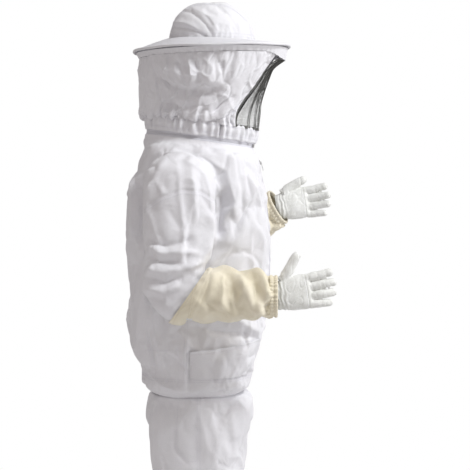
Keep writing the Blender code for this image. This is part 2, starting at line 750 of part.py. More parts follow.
def fingers(arm, frame):
    """Four stalls joined by a strip at the knuckles, hollow and open to the palm."""
    wrist, forward, thumb, out = frame
    name = NAMES[arm.side]
    start = PALM_LENGTH + KNUCKLE_GAP
    strip = [hand_ring(frame, start, PALM_HALF_WIDTH, PALM_HALF_DEPTH * 0.80),
             hand_ring(frame, start + 0.008, PALM_HALF_WIDTH - 0.001, PALM_HALF_DEPTH * 0.70)]
    piece = solid_loft("glove_fingers_" + name, strip, HIDE)
    pitch = (PALM_HALF_WIDTH - FINGER_RADIUS) * 2 / 3
    for number, (finger, length, width) in enumerate(FINGERS):
        lift = PALM_HALF_WIDTH - FINGER_RADIUS - number * pitch
        direction = (forward + thumb * (0.05 - 0.07 * number)).normalized()
        for cut in (False, True):
            back = 0.004 if cut else -0.002
            radius = FINGER_RADIUS * width - (LEATHER if cut else 0.0)
            base = wrist + forward * (start - back) + thumb * lift
            reach = FINGER_LENGTH * length - (LEATHER if cut else 0.0) + back
            tool = stall("{}_{}_{}".format("hollow" if cut else "stall", finger, name), base,
                         direction, thumb, reach, radius, CUTTERS)
            boolean(piece, tool, "DIFFERENCE" if cut else "UNION")


def thumb_stall(arm, frame):
    wrist, forward, thumb, out = frame
    base = wrist + forward * 0.036 + thumb * (PALM_HALF_WIDTH + 0.013)
    direction = (forward * 0.60 + thumb * 0.80).normalized()
    if arm.side == LEFT:
        direction = (forward * 0.93 + thumb * 0.36).normalized()
    rings = []
    for along, size in ((0.0, 1.0), (0.4, 0.95), (0.75, 0.86), (0.92, 0.62), (1.0, 0.30)):
        centre = base + direction * 0.062 * along
        across = direction.cross(out).normalized()
        radius = 0.0135 * size
        rings.append(oval(centre - across * radius, centre + across * radius, radius, 12, turn=out))
    sheet_with_tip("glove_thumb_" + NAMES[arm.side], rings, LEATHER, HIDE)


def sheet_with_tip(name, rings, wall, colour):
    """A stall that is closed at its tip and open at its base."""
    builder = bmesh.new()
    rows = [[builder.verts.new(point) for point in ring] for ring in rings]
    for low, high in zip(rows, rows[1:]):
        for i in range(len(low)):
            j = (i + 1) % len(low)
            builder.faces.new((low[i], low[j], high[j], high[i]))
    builder.faces.new(rows[-1])
    bmesh.ops.recalc_face_normals(builder, faces=builder.faces)
    middle = sum((v.co for v in builder.verts), Vector()) / len(builder.verts)
    outward = sum((f.calc_center_median() - middle).dot(f.normal) for f in builder.faces)
    if outward < 0:
        bmesh.ops.reverse_faces(builder, faces=builder.faces)
    piece = add_object(name, builder, colour, roughness=0.6)
    thicken(piece, wall)


def arms():
    for side in (RIGHT, LEFT):
        arm = Arm(side)
        end, down = upper_arm(side)
        elbow_gusset(arm, end, down)
        forearm(arm)
        glove(arm)


# ---- Trousers -------------------------------------------------------------------------

def flat_oval(z, x, half_width, half_depth, y=0.0, power=0.9, count=18):
    return oval((x - half_width, y, z), (x + half_width, y, z), half_depth, count, power)


SEAT_RING = 28
HIP_LOW = 0.080             # height of the cloth that folds at the hip
KNEE_HALF = 0.065           # half the height of the cloth that folds at the knee
WAISTBAND = 0.040           # height of the waistband
SEAT_CLEAR = 0.009          # the seat's cloth stays this far inside the hem's elastic
SEAT_GATHER = 0.095         # the seat is drawn in this far under the waist


def trousers():
    hem = Level(HEM_SEAM_Z, *TORSO_LEVELS[-1][1:])
    hem_low = HEM_SEAM_Z - HEM_DEPTH
    layers = HEM_TUCK + CLOTH * 1.7 + LAYER_GAP + 0.003
    narrow = (hem.width - layers - SEAT_CLEAR, (hem.back - hem.front) / 2 - layers - SEAT_CLEAR,
              (hem.back + hem.front) / 2)
    band_low = WAIST_Z - WAISTBAND
    waist = [seat_ring(WAIST_Z, WAIST_HALF_WIDTH - 0.006, WAIST_HALF_DEPTH - 0.006),
             seat_ring(band_low, WAIST_HALF_WIDTH, WAIST_HALF_DEPTH - 0.004)]
    sheet("waistband_casing", waist, CLOTH)
    inner = CLOTH + LAYER_GAP + 0.002
    wide, deep = WAIST_HALF_WIDTH - inner, WAIST_HALF_DEPTH - inner
    elastic = [seat_ring(WAIST_Z - 0.004, wide - 0.006, deep - 0.006),
               seat_ring(band_low + 0.006, wide - 0.001, deep - 0.005)]
    sheet("waist_elastic", elastic, CLOTH * 0.7, colour=RUBBER)
    seat = [seat_ring(band_low - SEAM_GAP * 2, WAIST_HALF_WIDTH, WAIST_HALF_DEPTH - 0.004),
            seat_ring(band_low - 0.020, WAIST_HALF_WIDTH - 0.004, WAIST_HALF_DEPTH - 0.004),
            seat_ring(WAIST_Z - SEAT_GATHER, *narrow),
            seat_ring(hem_low - 0.004, *narrow),
            seat_ring(hem_low - 0.028, WAIST_HALF_WIDTH + 0.010, LEG_HALF_DEPTH + 0.004),
            seat_ring(CROTCH_Z, LEG_X + LEG_HALF_WIDTH, LEG_HALF_DEPTH + 0.006)]
    sheet("trouser_seat", seat, CLOTH)
    for side in (RIGHT, LEFT):
        leg(side)


def seat_ring(z, half_width, half_depth, y=0.0):
    return flat_oval(z, 0, half_width, half_depth, y, count=SEAT_RING)


def leg(side):
    name = NAMES[side]
    x = side * LEG_X
    joint = SEAM_GAP * 2
    top = CROTCH_Z - joint
    hip_low = CROTCH_Z - HIP_LOW
    knee_top = KNEE_Z + KNEE_HALF
    knee_low = KNEE_Z - KNEE_HALF

    def level(z, width, depth):
        return flat_oval(z, x, LEG_HALF_WIDTH * width, LEG_HALF_DEPTH * depth)

    sheet("hip_gusset_" + name, [level(top, 1.0, 1.03), level((top + hip_low) / 2, 1.0, 1.01),
                                 level(hip_low, 0.99, 0.99)], CLOTH)
    sheet("thigh_" + name, [level(hip_low - joint, 0.99, 0.99), level(knee_top, 0.96, 0.93)], CLOTH)
    sheet("knee_gusset_" + name, [level(knee_top - joint, 0.96, 0.93), level(KNEE_Z, 0.95, 0.91),
                                  level(knee_low, 0.93, 0.88)], CLOTH)
    cuff_top = ANKLE_Z + ANKLE_CUFF
    calf = (knee_low + cuff_top) / 2
    shin = [level(knee_low - joint, 0.93, 0.88), level(calf, 0.88, 0.78),
            level(cuff_top + 0.045, 0.84, 0.68),
            flat_oval(cuff_top, x, ANKLE_RADIUS, ANKLE_RADIUS)]
    sheet("shin_" + name, shin, CLOTH)
    cuff = [flat_oval(cuff_top - joint, x, ANKLE_RADIUS, ANKLE_RADIUS),
            flat_oval(ANKLE_Z, x, ANKLE_RADIUS - 0.004, ANKLE_RADIUS - 0.004)]
    sheet("ankle_cuff_" + name, cuff, CLOTH)


jacket_body()
hem()
front_zip()
collar_zip()
hat()
veil()
arms()
trousers()
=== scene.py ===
from math import atan2, cos, pi, radians, sin, sqrt

import bmesh
import bpy
import numpy as np
from mathutils import Matrix, Vector, noise
from mathutils.bvhtree import BVHTree


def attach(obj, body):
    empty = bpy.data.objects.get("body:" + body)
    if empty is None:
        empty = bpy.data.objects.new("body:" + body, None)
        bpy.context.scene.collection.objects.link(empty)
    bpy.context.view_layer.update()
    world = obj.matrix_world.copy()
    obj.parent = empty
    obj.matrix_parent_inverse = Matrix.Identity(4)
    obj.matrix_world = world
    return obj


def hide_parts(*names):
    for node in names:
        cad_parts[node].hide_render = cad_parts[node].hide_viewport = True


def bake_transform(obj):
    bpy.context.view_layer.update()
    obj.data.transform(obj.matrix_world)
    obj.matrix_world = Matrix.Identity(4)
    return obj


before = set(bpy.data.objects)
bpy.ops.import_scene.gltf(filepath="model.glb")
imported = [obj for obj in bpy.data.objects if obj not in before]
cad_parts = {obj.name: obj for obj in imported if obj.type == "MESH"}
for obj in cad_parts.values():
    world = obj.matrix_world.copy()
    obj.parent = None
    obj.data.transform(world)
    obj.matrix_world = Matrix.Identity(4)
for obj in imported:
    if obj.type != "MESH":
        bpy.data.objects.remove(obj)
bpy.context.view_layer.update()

# The suit: a jacket with a zipped-on hood, a hat, gauntlet gloves and trousers, worn by nobody.
# -Y is the way the wearer faces, -X is the wearer's right, and the neck opening is at the origin.

sideNames = {-1: "right", 1: "left"}


# small sums

def smooth(t):
    t = np.clip(t, 0, 1)
    return t * t * (3 - 2 * t)


def signedPower(value, power):
    return np.sign(value) * np.abs(value) ** power


def through(keys, count):
    # a smooth run of count items that passes through the key ones
    keys = np.array(keys, float)
    spots = np.linspace(0, len(keys) - 1, count)
    i = np.clip(spots.astype(int), 0, len(keys) - 2)
    t = (spots - i).reshape((-1,) + (1,) * (keys.ndim - 1))
    before, a, b = keys[np.clip(i - 1, 0, None)], keys[i], keys[i + 1]
    after = keys[np.clip(i + 2, None, len(keys) - 1)]
    return 0.5 * (2 * a + (b - before) * t + (2 * before - 5 * a + 4 * b - after) * t ** 2
                  + (3 * a - 3 * b + after - before) * t ** 3)


def unit(v):
    v = np.array(v, float)
    return v / np.linalg.norm(v)


def bumpy(points, scale, seed=0.0):
    # smooth noise at each point, from -1 to 1, with its own scale along each axis
    out = np.empty(len(points))
    for i, p in enumerate(points / np.array(scale) + seed):
        out[i] = noise.noise(p)
    return out


# mesh making

def makePiece(name, points, faces, materials=()):
    mesh = bpy.data.meshes.new(name)
    mesh.from_pydata([tuple(p) for p in points], [], faces)
    mesh.shade_smooth()
    piece = bpy.data.objects.new(name, mesh)
    bpy.context.scene.collection.objects.link(piece)
    for one in materials:
        mesh.materials.append(one)
    return piece


def gridFaces(rows, columns, closed, first=0):
    faces = []
    for i in range(rows - 1):
        for j in range(columns if closed else columns - 1):
            k = (j + 1) % columns
            faces.append((first + i * columns + j, first + i * columns + k,
                          first + (i + 1) * columns + k, first + (i + 1) * columns + j))
    return faces


def loft(name, rings, closed=True, caps=False, materials=()):
    rings = np.array(rings)
    rows, columns = rings.shape[:2]
    faces = gridFaces(rows, columns, closed)
    if caps:
        faces.append(tuple(range(columns - 1, -1, -1)))
        faces.append(tuple(range((rows - 1) * columns, rows * columns)))
    piece = makePiece(name, rings.reshape(-1, 3), faces, materials)
    faceOut(piece)
    return piece


def faceOut(piece):
    mesh = piece.data
    centres, normals, areas = (np.array([getattr(f, key) for f in mesh.polygons])
                               for key in ("center", "normal", "area"))
    middle = (centres * areas[:, None]).sum(0) / areas.sum()
    if (((centres - middle) * normals).sum(1) * areas).sum() < 0:
        mesh.flip_normals()


def getPoints(piece):
    points = np.empty(len(piece.data.vertices) * 3)
    piece.data.vertices.foreach_get("co", points)
    return points.reshape(-1, 3)


def getNormals(piece):
    piece.data.update()
    return np.array([v.normal for v in piece.data.vertices])


def setPoints(piece, points):
    piece.data.vertices.foreach_set("co", np.asarray(points, np.float32).ravel())
    piece.data.update()


def push(piece, amounts):
    # moves each point along its normal
    setPoints(piece, getPoints(piece) + getNormals(piece) * np.asarray(amounts)[:, None])


def bake(piece):
    # the modifiers' result becomes the mesh
    evaluated = piece.evaluated_get(bpy.context.evaluated_depsgraph_get())
    mesh = bpy.data.meshes.new_from_object(evaluated)
    piece.modifiers.clear()
    piece.data = mesh
    mesh.shade_smooth()


def modify(piece, kind, **settings):
    modifier = piece.modifiers.new(kind.lower(), kind)
    for key, value in settings.items():
        setattr(modifier, key, value)
    bake(piece)


def joinPieces(name, pieces, materials=None):
    points, faces, slots, start = [], [], [], 0
    kept = materials or list(pieces[0].data.materials)
    for piece in pieces:
        points.extend(getPoints(piece))
        for face in piece.data.polygons:
            faces.append(tuple(start + v for v in face.vertices))
            slots.append(kept.index(piece.data.materials[face.material_index]) if kept else 0)
        start += len(piece.data.vertices)
        bpy.data.objects.remove(piece)
    joined = makePiece(name, points, faces, kept)
    joined.data.polygons.foreach_set("material_index", slots)
    return joined


def copyPiece(piece, name):
    twin = piece.copy()
    twin.data = piece.data.copy()
    twin.name = name
    bpy.context.scene.collection.objects.link(twin)
    return twin


def cutAway(piece, point, direction):
    # removes what lies beyond the point, in that direction
    bm = bmesh.new()
    bm.from_mesh(piece.data)
    bmesh.ops.bisect_plane(bm, geom=bm.verts[:] + bm.edges[:] + bm.faces[:], dist=0.00001,
                           plane_co=Vector(point), plane_no=Vector(direction), clear_outer=True)
    bm.to_mesh(piece.data)
    bm.free()


def settle(piece, held, grow, pressure, cap, frames=14, gravity=0.0, bend=0.5):
    # a short cloth simulation: the cloth is cut a little too large, so that it buckles by itself
    before = getPoints(piece)
    group = piece.vertex_groups.new(name="held")
    group.add([int(i) for i in np.flatnonzero(held)], 1.0, "REPLACE")
    cloth = piece.modifiers.new("cloth", "CLOTH")
    own = cloth.settings
    own.quality = 5
    own.mass = 0.3
    own.tension_stiffness = own.compression_stiffness = 18
    own.shear_stiffness = 6
    own.bending_stiffness = bend
    own.tension_damping = own.compression_damping = 8
    own.air_damping = 2
    own.vertex_group_mass = "held"
    own.shrink_min = -grow
    own.use_pressure = pressure != 0
    own.uniform_pressure_force = pressure
    own.effector_weights.gravity = gravity
    cloth.point_cache.frame_start = 1
    cloth.point_cache.frame_end = frames
    for number in range(1, frames + 1):
        bpy.context.scene.frame_set(number)
    evaluated = piece.evaluated_get(bpy.context.evaluated_depsgraph_get())
    after = getPoints(evaluated)
    piece.modifiers.clear()
    piece.vertex_groups.clear()
    bpy.context.scene.frame_set(1)
    move = after - before
    length = np.linalg.norm(move, axis=1) + 1e-9
    setPoints(piece, before + move * (cap * np.tanh(length / cap) / length)[:, None])


# folds and seams

def fromLine(flat, line):
    # each point's distance from a line of points, and how far along the line it is
    best = np.full(len(flat), 9.0)
    share = np.zeros(len(flat))
    line = np.array(line, float)
    lengths = np.linalg.norm(np.diff(line, axis=0), axis=1)
    done = 0.0
    for a, b, length in zip(line, line[1:], lengths):
        t = np.clip(((flat - a) @ (b - a)) / length ** 2, 0, 1)
        gap = np.linalg.norm(flat - (a + t[:, None] * (b - a)), axis=1)
        nearer = gap < best
        best[nearer] = gap[nearer]
        share[nearer] = (done + t[nearer] * length) / lengths.sum()
        done += length
    return best, share


def foldPush(points, normals, folds, axes, facing, strength=1.0):
    # folds are (line, width, height), drawn on two of the axes, on the side that faces that way
    seen = smooth((normals @ np.array(facing) - 0.05) / 0.35)
    flat = points[:, axes]
    total = np.zeros(len(points))
    for line, width, height in folds:
        gap, share = fromLine(flat, line)
        ends = smooth(share / 0.22) * smooth((1 - share) / 0.22)
        total += height * strength * np.exp(-(gap / width) ** 1.35) * ends
    return total * seen


def thinCreases(points, scale, seed, width=0.11):
    # sharp little ridges that wander along the cloth, as thin cloth takes
    return np.exp(-(np.abs(bumpy(points, scale, seed)) / width) ** 1.2)


def bendCreases(points, normals, pivot, along, inside, reach=0.055, height=0.005, pitch=0.030):
    # the rings of creases on the inner side of an elbow or a knee
    away = points - np.array(pivot)
    s = away @ unit(along)
    near = np.exp(-(s / reach) ** 2) * np.exp(-((away ** 2).sum(1) - s ** 2) / 0.13 ** 2)
    turned = smooth((normals @ unit(inside) + 0.45) / 1.1)
    return height * near * turned * np.sin(s * 2 * pi / pitch + bumpy(points, (0.05, 0.05, 0.05), 7.0) * 2.5)


def surfaceOf(piece):
    return BVHTree.FromPolygons([v.co for v in piece.data.vertices],
                                [tuple(f.vertices) for f in piece.data.polygons])


def layOn(tree, starts, directions):
    # where rays meet the cloth, with the way the cloth faces there
    found = []
    for start, direction in zip(starts, directions):
        direction = Vector(direction).normalized()
        place, normal, _, _ = tree.ray_cast(Vector(start), direction)
        if place is not None:
            found.append((np.array(place), np.array(normal)))
    return found


def fineLine(line, step=0.004):
    line = np.array(line, float)
    lengths = np.r_[0, np.cumsum(np.linalg.norm(np.diff(line, axis=0), axis=1))]
    spots = np.linspace(0, lengths[-1], max(2, int(lengths[-1] / step) + 1))
    return np.stack([np.interp(spots, lengths, line[:, i]) for i in range(line.shape[1])], 1)


def sideLine(tree, line, side, step=0.004):
    # a (y, z) line seen from the side, laid on the cloth
    flat = fineLine(line, step)
    return layOn(tree, [(side * 0.7, y, z) for y, z in flat], [(-side, 0, 0)] * len(flat))


stitch = {"length": 0.0030, "gap": 0.0017, "radius": 0.00045}


def stitches(found, lift=0.0003, outwards=1):
    # one small rounded stitch after another along a laid line
    if len(found) < 3:
        return [], []
    points = np.array([p for p, _ in found])
    normals = np.array([n for _, n in found]) * outwards
    lengths = np.r_[0, np.cumsum(np.linalg.norm(np.diff(points, axis=0), axis=1))]
    pitch = stitch["length"] + stitch["gap"]
    allPoints, allFaces = [], []
    for begin in np.arange(0, lengths[-1] - stitch["length"], pitch):
        spots = begin + stitch["length"] * np.array([0.0, 0.25, 0.75, 1.0])
        spine = np.stack([np.interp(spots, lengths, points[:, i]) for i in range(3)], 1)
        up = unit([np.interp(spots[1], lengths, normals[:, i]) for i in range(3)])
        ahead = spine[-1] - spine[0]
        if np.linalg.norm(ahead) < 0.3 * stitch["length"]:
            continue
        across = unit(np.cross(ahead, up))
        first = len(allPoints)
        for p, size, height in zip(spine, (0.45, 1.0, 1.0, 0.45), (-0.3, 0.8, 0.8, -0.3)):
            centre = p + up * (lift + stitch["radius"] * height)
            for k in range(5):
                turn = 2 * pi * k / 5
                offset = (across * cos(turn) + up * sin(turn)) * stitch["radius"] * size
                allPoints.append(centre + offset)
        allFaces += gridFaces(4, 5, True, first)
        allFaces.append(tuple(first + k for k in range(4, -1, -1)))
        allFaces.append(tuple(first + 15 + k for k in range(5)))
    return allPoints, allFaces


def addStitches(piece, runs, slotIndex=1, outwards=1):
    # sews the runs into the piece, so that they bend with it
    base = getPoints(piece)
    points, faces = list(base), [tuple(f.vertices) for f in piece.data.polygons]
    slots = [f.material_index for f in piece.data.polygons]
    for found in runs:
        more, moreFaces = stitches(found, outwards=outwards)
        faces += [tuple(v + len(points) for v in f) for f in moreFaces]
        slots += [slotIndex] * len(moreFaces)
        points += more
    mesh = bpy.data.meshes.new(piece.name)
    mesh.from_pydata([tuple(p) for p in points], [], faces)
    mesh.shade_smooth()
    for one in piece.data.materials:
        mesh.materials.append(one)
    mesh.polygons.foreach_set("material_index", slots)
    piece.data = mesh


def besideLine(line, offset):
    # the same flat line moved sideways
    line = fineLine(line, 0.01)
    ahead = np.gradient(line, axis=0)
    ahead /= np.linalg.norm(ahead, axis=1)[:, None]
    return line + np.stack([-ahead[:, 1], ahead[:, 0]], 1) * offset


# materials

def addNode(tree, kind, settings=None, **inputs):
    made = tree.nodes.new("ShaderNode" + kind)
    for key, value in (settings or {}).items():
        setattr(made, key, value)
    for key, value in inputs.items():
        feed(tree, made.inputs[key.replace("_", " ")], value)
    return made


def feed(tree, socket, value):
    if isinstance(value, bpy.types.NodeSocket):
        tree.links.new(value, socket)
    else:
        socket.default_value = value


def sums(tree, operation, a, b=0.0):
    made = tree.nodes.new("ShaderNodeMath")
    made.operation = operation
    feed(tree, made.inputs[0], a)
    feed(tree, made.inputs[1], b)
    return made.outputs[0]


def mixColour(tree, share, a, b, blend="MIX"):
    made = addNode(tree, "Mix", {"data_type": "RGBA", "blend_type": blend})
    feed(tree, made.inputs[0], share)
    feed(tree, made.inputs[6], a)
    feed(tree, made.inputs[7], b)
    return made.outputs[2]


def weave(tree, pitch):
    # crossing threads on whichever way the cloth faces
    split = addNode(tree, "SeparateXYZ", Vector=addNode(tree, "TexCoord").outputs["Object"])
    facing = addNode(tree, "SeparateXYZ", Vector=addNode(tree, "NewGeometry").outputs["Normal"])
    waves = [sums(tree, "SINE", sums(tree, "MULTIPLY", split.outputs[i], 2 * pi / pitch)) for i in range(3)]
    total = 0.0
    for one, two, across in ((0, 1, 2), (1, 2, 0), (0, 2, 1)):
        crossing = sums(tree, "MULTIPLY", waves[one], waves[two])
        weight = sums(tree, "POWER", sums(tree, "ABSOLUTE", facing.outputs[across]), 2.0)
        total = sums(tree, "ADD", sums(tree, "MULTIPLY", crossing, weight), total)
    return total


def noiseAt(tree, scale, detail=3.0, roughness=0.5, distortion=0.0, stretch=(1, 1, 1)):
    place = addNode(tree, "Mapping", Vector=addNode(tree, "TexCoord").outputs["Object"], Scale=stretch)
    made = addNode(tree, "TexNoise", Vector=place.outputs[0], Scale=scale, Detail=detail,
                   Roughness=roughness, Distortion=distortion)
    return made.outputs[0]


def ramp(tree, value, stops):
    made = addNode(tree, "ValToRGB", Fac=value)
    elements = made.color_ramp.elements
    while len(elements) < len(stops):
        elements.new(0.5)
    for element, (place, colour) in zip(elements, stops):
        element.position = place
        element.color = (*colour, 1.0) if len(colour) == 3 else colour
    return made.outputs[0]


def fabric(name, pale, deep, pitch, crumple, roughness=0.86, sheen=0.25, weaveHeight=0.0002, soil=None):
    material = bpy.data.materials.new(name)
    material.use_nodes = True
    tree = material.node_tree
    shader = tree.nodes["Principled BSDF"]
    threads = weave(tree, pitch)
    broad = noiseAt(tree, 5.5, 4.0, 0.55)
    creases = sums(tree, "ABSOLUTE", sums(tree, "SUBTRACT", noiseAt(tree, 13.0, 2.5, 0.5, 0.8), 0.5))
    colour = ramp(tree, broad, [(0.32, deep), (0.62, pale)])
    flecks = ramp(tree, noiseAt(tree, 900.0, 1.0), [(0.30, (0.90,) * 3), (0.62, (1.0,) * 3)])
    colour = mixColour(tree, 0.8, colour, flecks, "MULTIPLY")
    if soil:
        spread = ramp(tree, noiseAt(tree, 16.0, 5.0, 0.65), [(0.52, (0, 0, 0)), (0.72, (1, 1, 1))])
        colour = mixColour(tree, sums(tree, "MULTIPLY", spread, 0.35), colour, (*soil, 1.0))
    feed(tree, shader.inputs["Base Color"], colour)
    rough = sums(tree, "ADD", sums(tree, "MULTIPLY", noiseAt(tree, 60.0), 0.12), roughness - 0.06)
    feed(tree, shader.inputs["Roughness"], rough)
    shader.inputs["Sheen Weight"].default_value = sheen
    shader.inputs["Sheen Roughness"].default_value = 0.6
    shader.inputs["Specular IOR Level"].default_value = 0.25
    wrinkles = addNode(tree, "Bump", Strength=1.0, Distance=crumple, Height=creases)
    weaveBump = addNode(tree, "Bump", Strength=0.55, Distance=weaveHeight, Height=threads,
                        Normal=wrinkles.outputs[0])
    feed(tree, shader.inputs["Normal"], weaveBump.outputs[0])
    return material


def leather(name):
    material = bpy.data.materials.new(name)
    material.use_nodes = True
    tree = material.node_tree
    shader = tree.nodes["Principled BSDF"]
    place = addNode(tree, "TexCoord").outputs["Object"]
    pores = addNode(tree, "TexVoronoi", {"feature": "DISTANCE_TO_EDGE"}, Vector=place, Scale=620.0)
    pebbles = addNode(tree, "MapRange", Value=pores.outputs["Distance"], From_Max=0.10)
    wrinkled = sums(tree, "ABSOLUTE", sums(tree, "SUBTRACT", noiseAt(tree, 70.0, 4.0, 0.6, 1.2), 0.5))
    hand = ramp(tree, noiseAt(tree, 26.0, 5.0, 0.6),
                [(0.28, (0.78, 0.79, 0.755)), (0.50, (0.85, 0.86, 0.835)), (0.72, (0.89, 0.90, 0.88))])
    # the leather is darker along the valleys of the same crease pattern that drives the folds bump
    creaseTone = ramp(tree, wrinkled, [(0.0, (0.91, 0.91, 0.88)), (0.08, (1.0, 1.0, 1.0))])
    feed(tree, shader.inputs["Base Color"], mixColour(tree, 0.6, hand, creaseTone, "MULTIPLY"))
    rough = sums(tree, "ADD", sums(tree, "MULTIPLY", noiseAt(tree, 40.0), 0.20), 0.46)
    feed(tree, shader.inputs["Roughness"], rough)
    shader.inputs["Specular IOR Level"].default_value = 0.35
    shader.inputs["Sheen Weight"].default_value = 0.08
    folds = addNode(tree, "Bump", Strength=0.4, Distance=0.0008, Height=wrinkled)
    grain = addNode(tree, "Bump", Strength=0.5, Distance=0.00025, Height=pebbles.outputs[0],
                    Normal=folds.outputs[0])
    feed(tree, shader.inputs["Normal"], grain.outputs[0])
    return material


def plainFinish(name, pale, deep, roughness, metallic=0.0, scale=300.0, height=0.0001, stretch=(1, 1, 1)):
    # moulded plastic, metal or thread: a mottled colour with a fine grain
    material = bpy.data.materials.new(name)
    material.use_nodes = True
    tree = material.node_tree
    shader = tree.nodes["Principled BSDF"]
    grain = noiseAt(tree, scale, 3.0, 0.6, 0.0, stretch)
    feed(tree, shader.inputs["Base Color"], ramp(tree, grain, [(0.30, deep), (0.68, pale)]))
    rough = sums(tree, "ADD", sums(tree, "MULTIPLY", grain, 0.16), roughness - 0.08)
    feed(tree, shader.inputs["Roughness"], rough)
    shader.inputs["Metallic"].default_value = metallic
    feed(tree, shader.inputs["Normal"], addNode(tree, "Bump", Strength=0.6, Distance=height,
                                                Height=grain).outputs[0])
    return material


whiteCloth = fabric("whiteCloth", (0.84, 0.84, 0.87), (0.80, 0.795, 0.825), 0.0007, 0.0045)
hatCloth = fabric("hatCloth", (0.81, 0.81, 0.835), (0.77, 0.765, 0.79), 0.0007, 0.0030)
creamCanvas = fabric("creamCanvas", (0.92, 0.86, 0.70), (0.84, 0.77, 0.585), 0.0013, 0.0045, 0.9, 0.3,
                     0.0004, (0.70, 0.64, 0.46))
zipTape = fabric("zipTape", (0.77, 0.77, 0.82), (0.70, 0.70, 0.75), 0.0011, 0.0006, 0.8, 0.1, 0.0003)
bandElastic = fabric("bandElastic", (0.68, 0.68, 0.65), (0.58, 0.58, 0.55), 0.0022, 0.0004, 0.8, 0.1, 0.0006)
gloveLeather = leather("gloveLeather")
sewingThread = plainFinish("sewingThread", (0.76, 0.76, 0.81), (0.60, 0.60, 0.66), 0.7, 0.0, 2500.0)
creamThread = plainFinish("creamThread", (0.74, 0.68, 0.52), (0.58, 0.52, 0.38), 0.75, 0.0, 2500.0)
netStrand = plainFinish("netStrand", (0.10, 0.10, 0.09), (0.06, 0.06, 0.055), 0.5, 0.0, 1500.0)
netTape = fabric("netTape", (0.13, 0.13, 0.12), (0.07, 0.07, 0.065), 0.0012, 0.0005, 0.85, 0.1, 0.0003)
zipTeeth = plainFinish("zipTeeth", (0.78, 0.78, 0.82), (0.68, 0.68, 0.73), 0.38, 0.0, 700.0)
zipMetal = plainFinish("zipMetal", (0.66, 0.66, 0.65), (0.42, 0.42, 0.43), 0.34, 1.0, 260.0, 0.00006,
                       (1, 1, 9))
print("materials ready")


# the neck opening, where hood and collar zip together

neck = {"radius": 0.150, "tilt": radians(7.6), "drop": 0.008, "tape": 0.013, "coil": 0.0016}
neckFrame = np.array(Matrix.Translation((0, 0, -neck["drop"])) @ Matrix.Rotation(neck["tilt"], 4, "X"))


def neckRing(radius, height, turns):
    radius, height = np.broadcast_to(radius, turns.shape), np.broadcast_to(height, turns.shape)
    local = np.stack([-radius * np.sin(turns), -radius * np.cos(turns), height], -1)
    return local @ neckFrame[:3, :3].T + neckFrame[:3, 3]


def fullTurn(count):
    return np.linspace(0, 2 * pi, count, endpoint=False)


# jacket: body and both sleeves are shaped as one, then parted at the armholes

jacket = {
    "halfWidth": 0.1860, "back": 0.1955, "arc": 1.05, "bulge": 0.1945, "fullest": -0.330,
    "squareness": 2.6, "voxel": 0.0064, "hemSeam": -0.704,
    # height, slope towards the front, back depth as a share, half width as a share
    "levels": [(-0.052, 0.080, 0.80, 0.970), (-0.095, 0.030, 0.86, 0.988), (-0.150, 0, 0.95, 1.0),
               (-0.240, 0, 1.0, 1.0), (-0.355, 0, 0.99, 0.995), (-0.460, 0, 0.965, 0.990),
               (-0.560, 0, 0.93, 0.982), (-0.655, 0, 0.82, 0.955)],
}
shoulder = {"y": 0.050, "z": -0.140, "radius": 0.094, "cut": 0.1900}

# each ring of a sleeve is given by its inner and outer end and half its depth
armShapes = {
    -1: {"rings": [((0.204, 0.050, -0.237), (0.262, 0.050, -0.078), 0.096),
                   ((0.210, 0.050, -0.244), (0.301, 0.052, -0.150), 0.097),
                   ((0.212, 0.058, -0.312), (0.326, 0.060, -0.312), 0.088)],
         "down": (0, 0, -1), "elbow": (-0.275, 0.060, -0.428), "forward": (0, -1, 0),
         "hand": (0, -0.985, 0.174), "mouth": 0.035, "slant": 0.69},
    1: {"rings": [((0.204, 0.049, -0.236), (0.258, 0.048, -0.074), 0.096),
                  ((0.214, 0.047, -0.246), (0.300, 0.044, -0.114), 0.093),
                  ((0.272, 0.026, -0.296), (0.356, 0.026, -0.208), 0.080)],
        "down": (0.717, -0.154, -0.681), "elbow": (0.405, -0.006, -0.336), "forward": (-0.279, -0.827, 0.488),
        "hand": (-0.05, -0.985, 0.165), "mouth": 0.116, "slant": 0.0},
}
wristAhead = 0.268
ringPoints = 56


def frontLine(z):
    own = jacket
    return own["arc"] - own["bulge"] - sqrt(own["arc"] ** 2 - (z - own["fullest"]) ** 2)


def torsoRing(level, turns, out=0.0):
    z, slope, back, width = level
    front, back = frontLine(z) - out, jacket["back"] * back + out
    power = 2 / jacket["squareness"]
    y = (front + back) / 2 - (back - front) / 2 * signedPower(np.cos(turns), power)
    x = -(jacket["halfWidth"] * width + out) * signedPower(np.sin(turns), power)
    return np.stack([x, y, z + slope * y], -1)


def levelAt(z):
    # the level at any height between two of the listed ones
    rows = np.array(jacket["levels"])[::-1]
    return (z,) + tuple(np.interp(z, rows[:, 0], rows[:, k]) for k in (1, 2, 3))


def ovalRing(inner, outer, half, turn, count=ringPoints, power=1.0):
    inner, outer = np.array(inner, float), np.array(outer, float)
    turns = fullTurn(count)[:, None]
    return ((inner + outer) / 2 - (outer - inner) / 2 * signedPower(np.cos(turns), power)
            + unit(turn) * half * signedPower(np.sin(turns), power))


def matchRing(first, second):
    # the second ring with its points in the order that faces the first ring's
    best, chosen = 1e9, second
    for order in (second, second[::-1]):
        for shift in range(len(second)):
            rolled = np.roll(order, shift, axis=0)
            cost = np.linalg.norm(first - rolled, axis=1).sum()
            if cost < best:
                best, chosen = cost, rolled
    return chosen


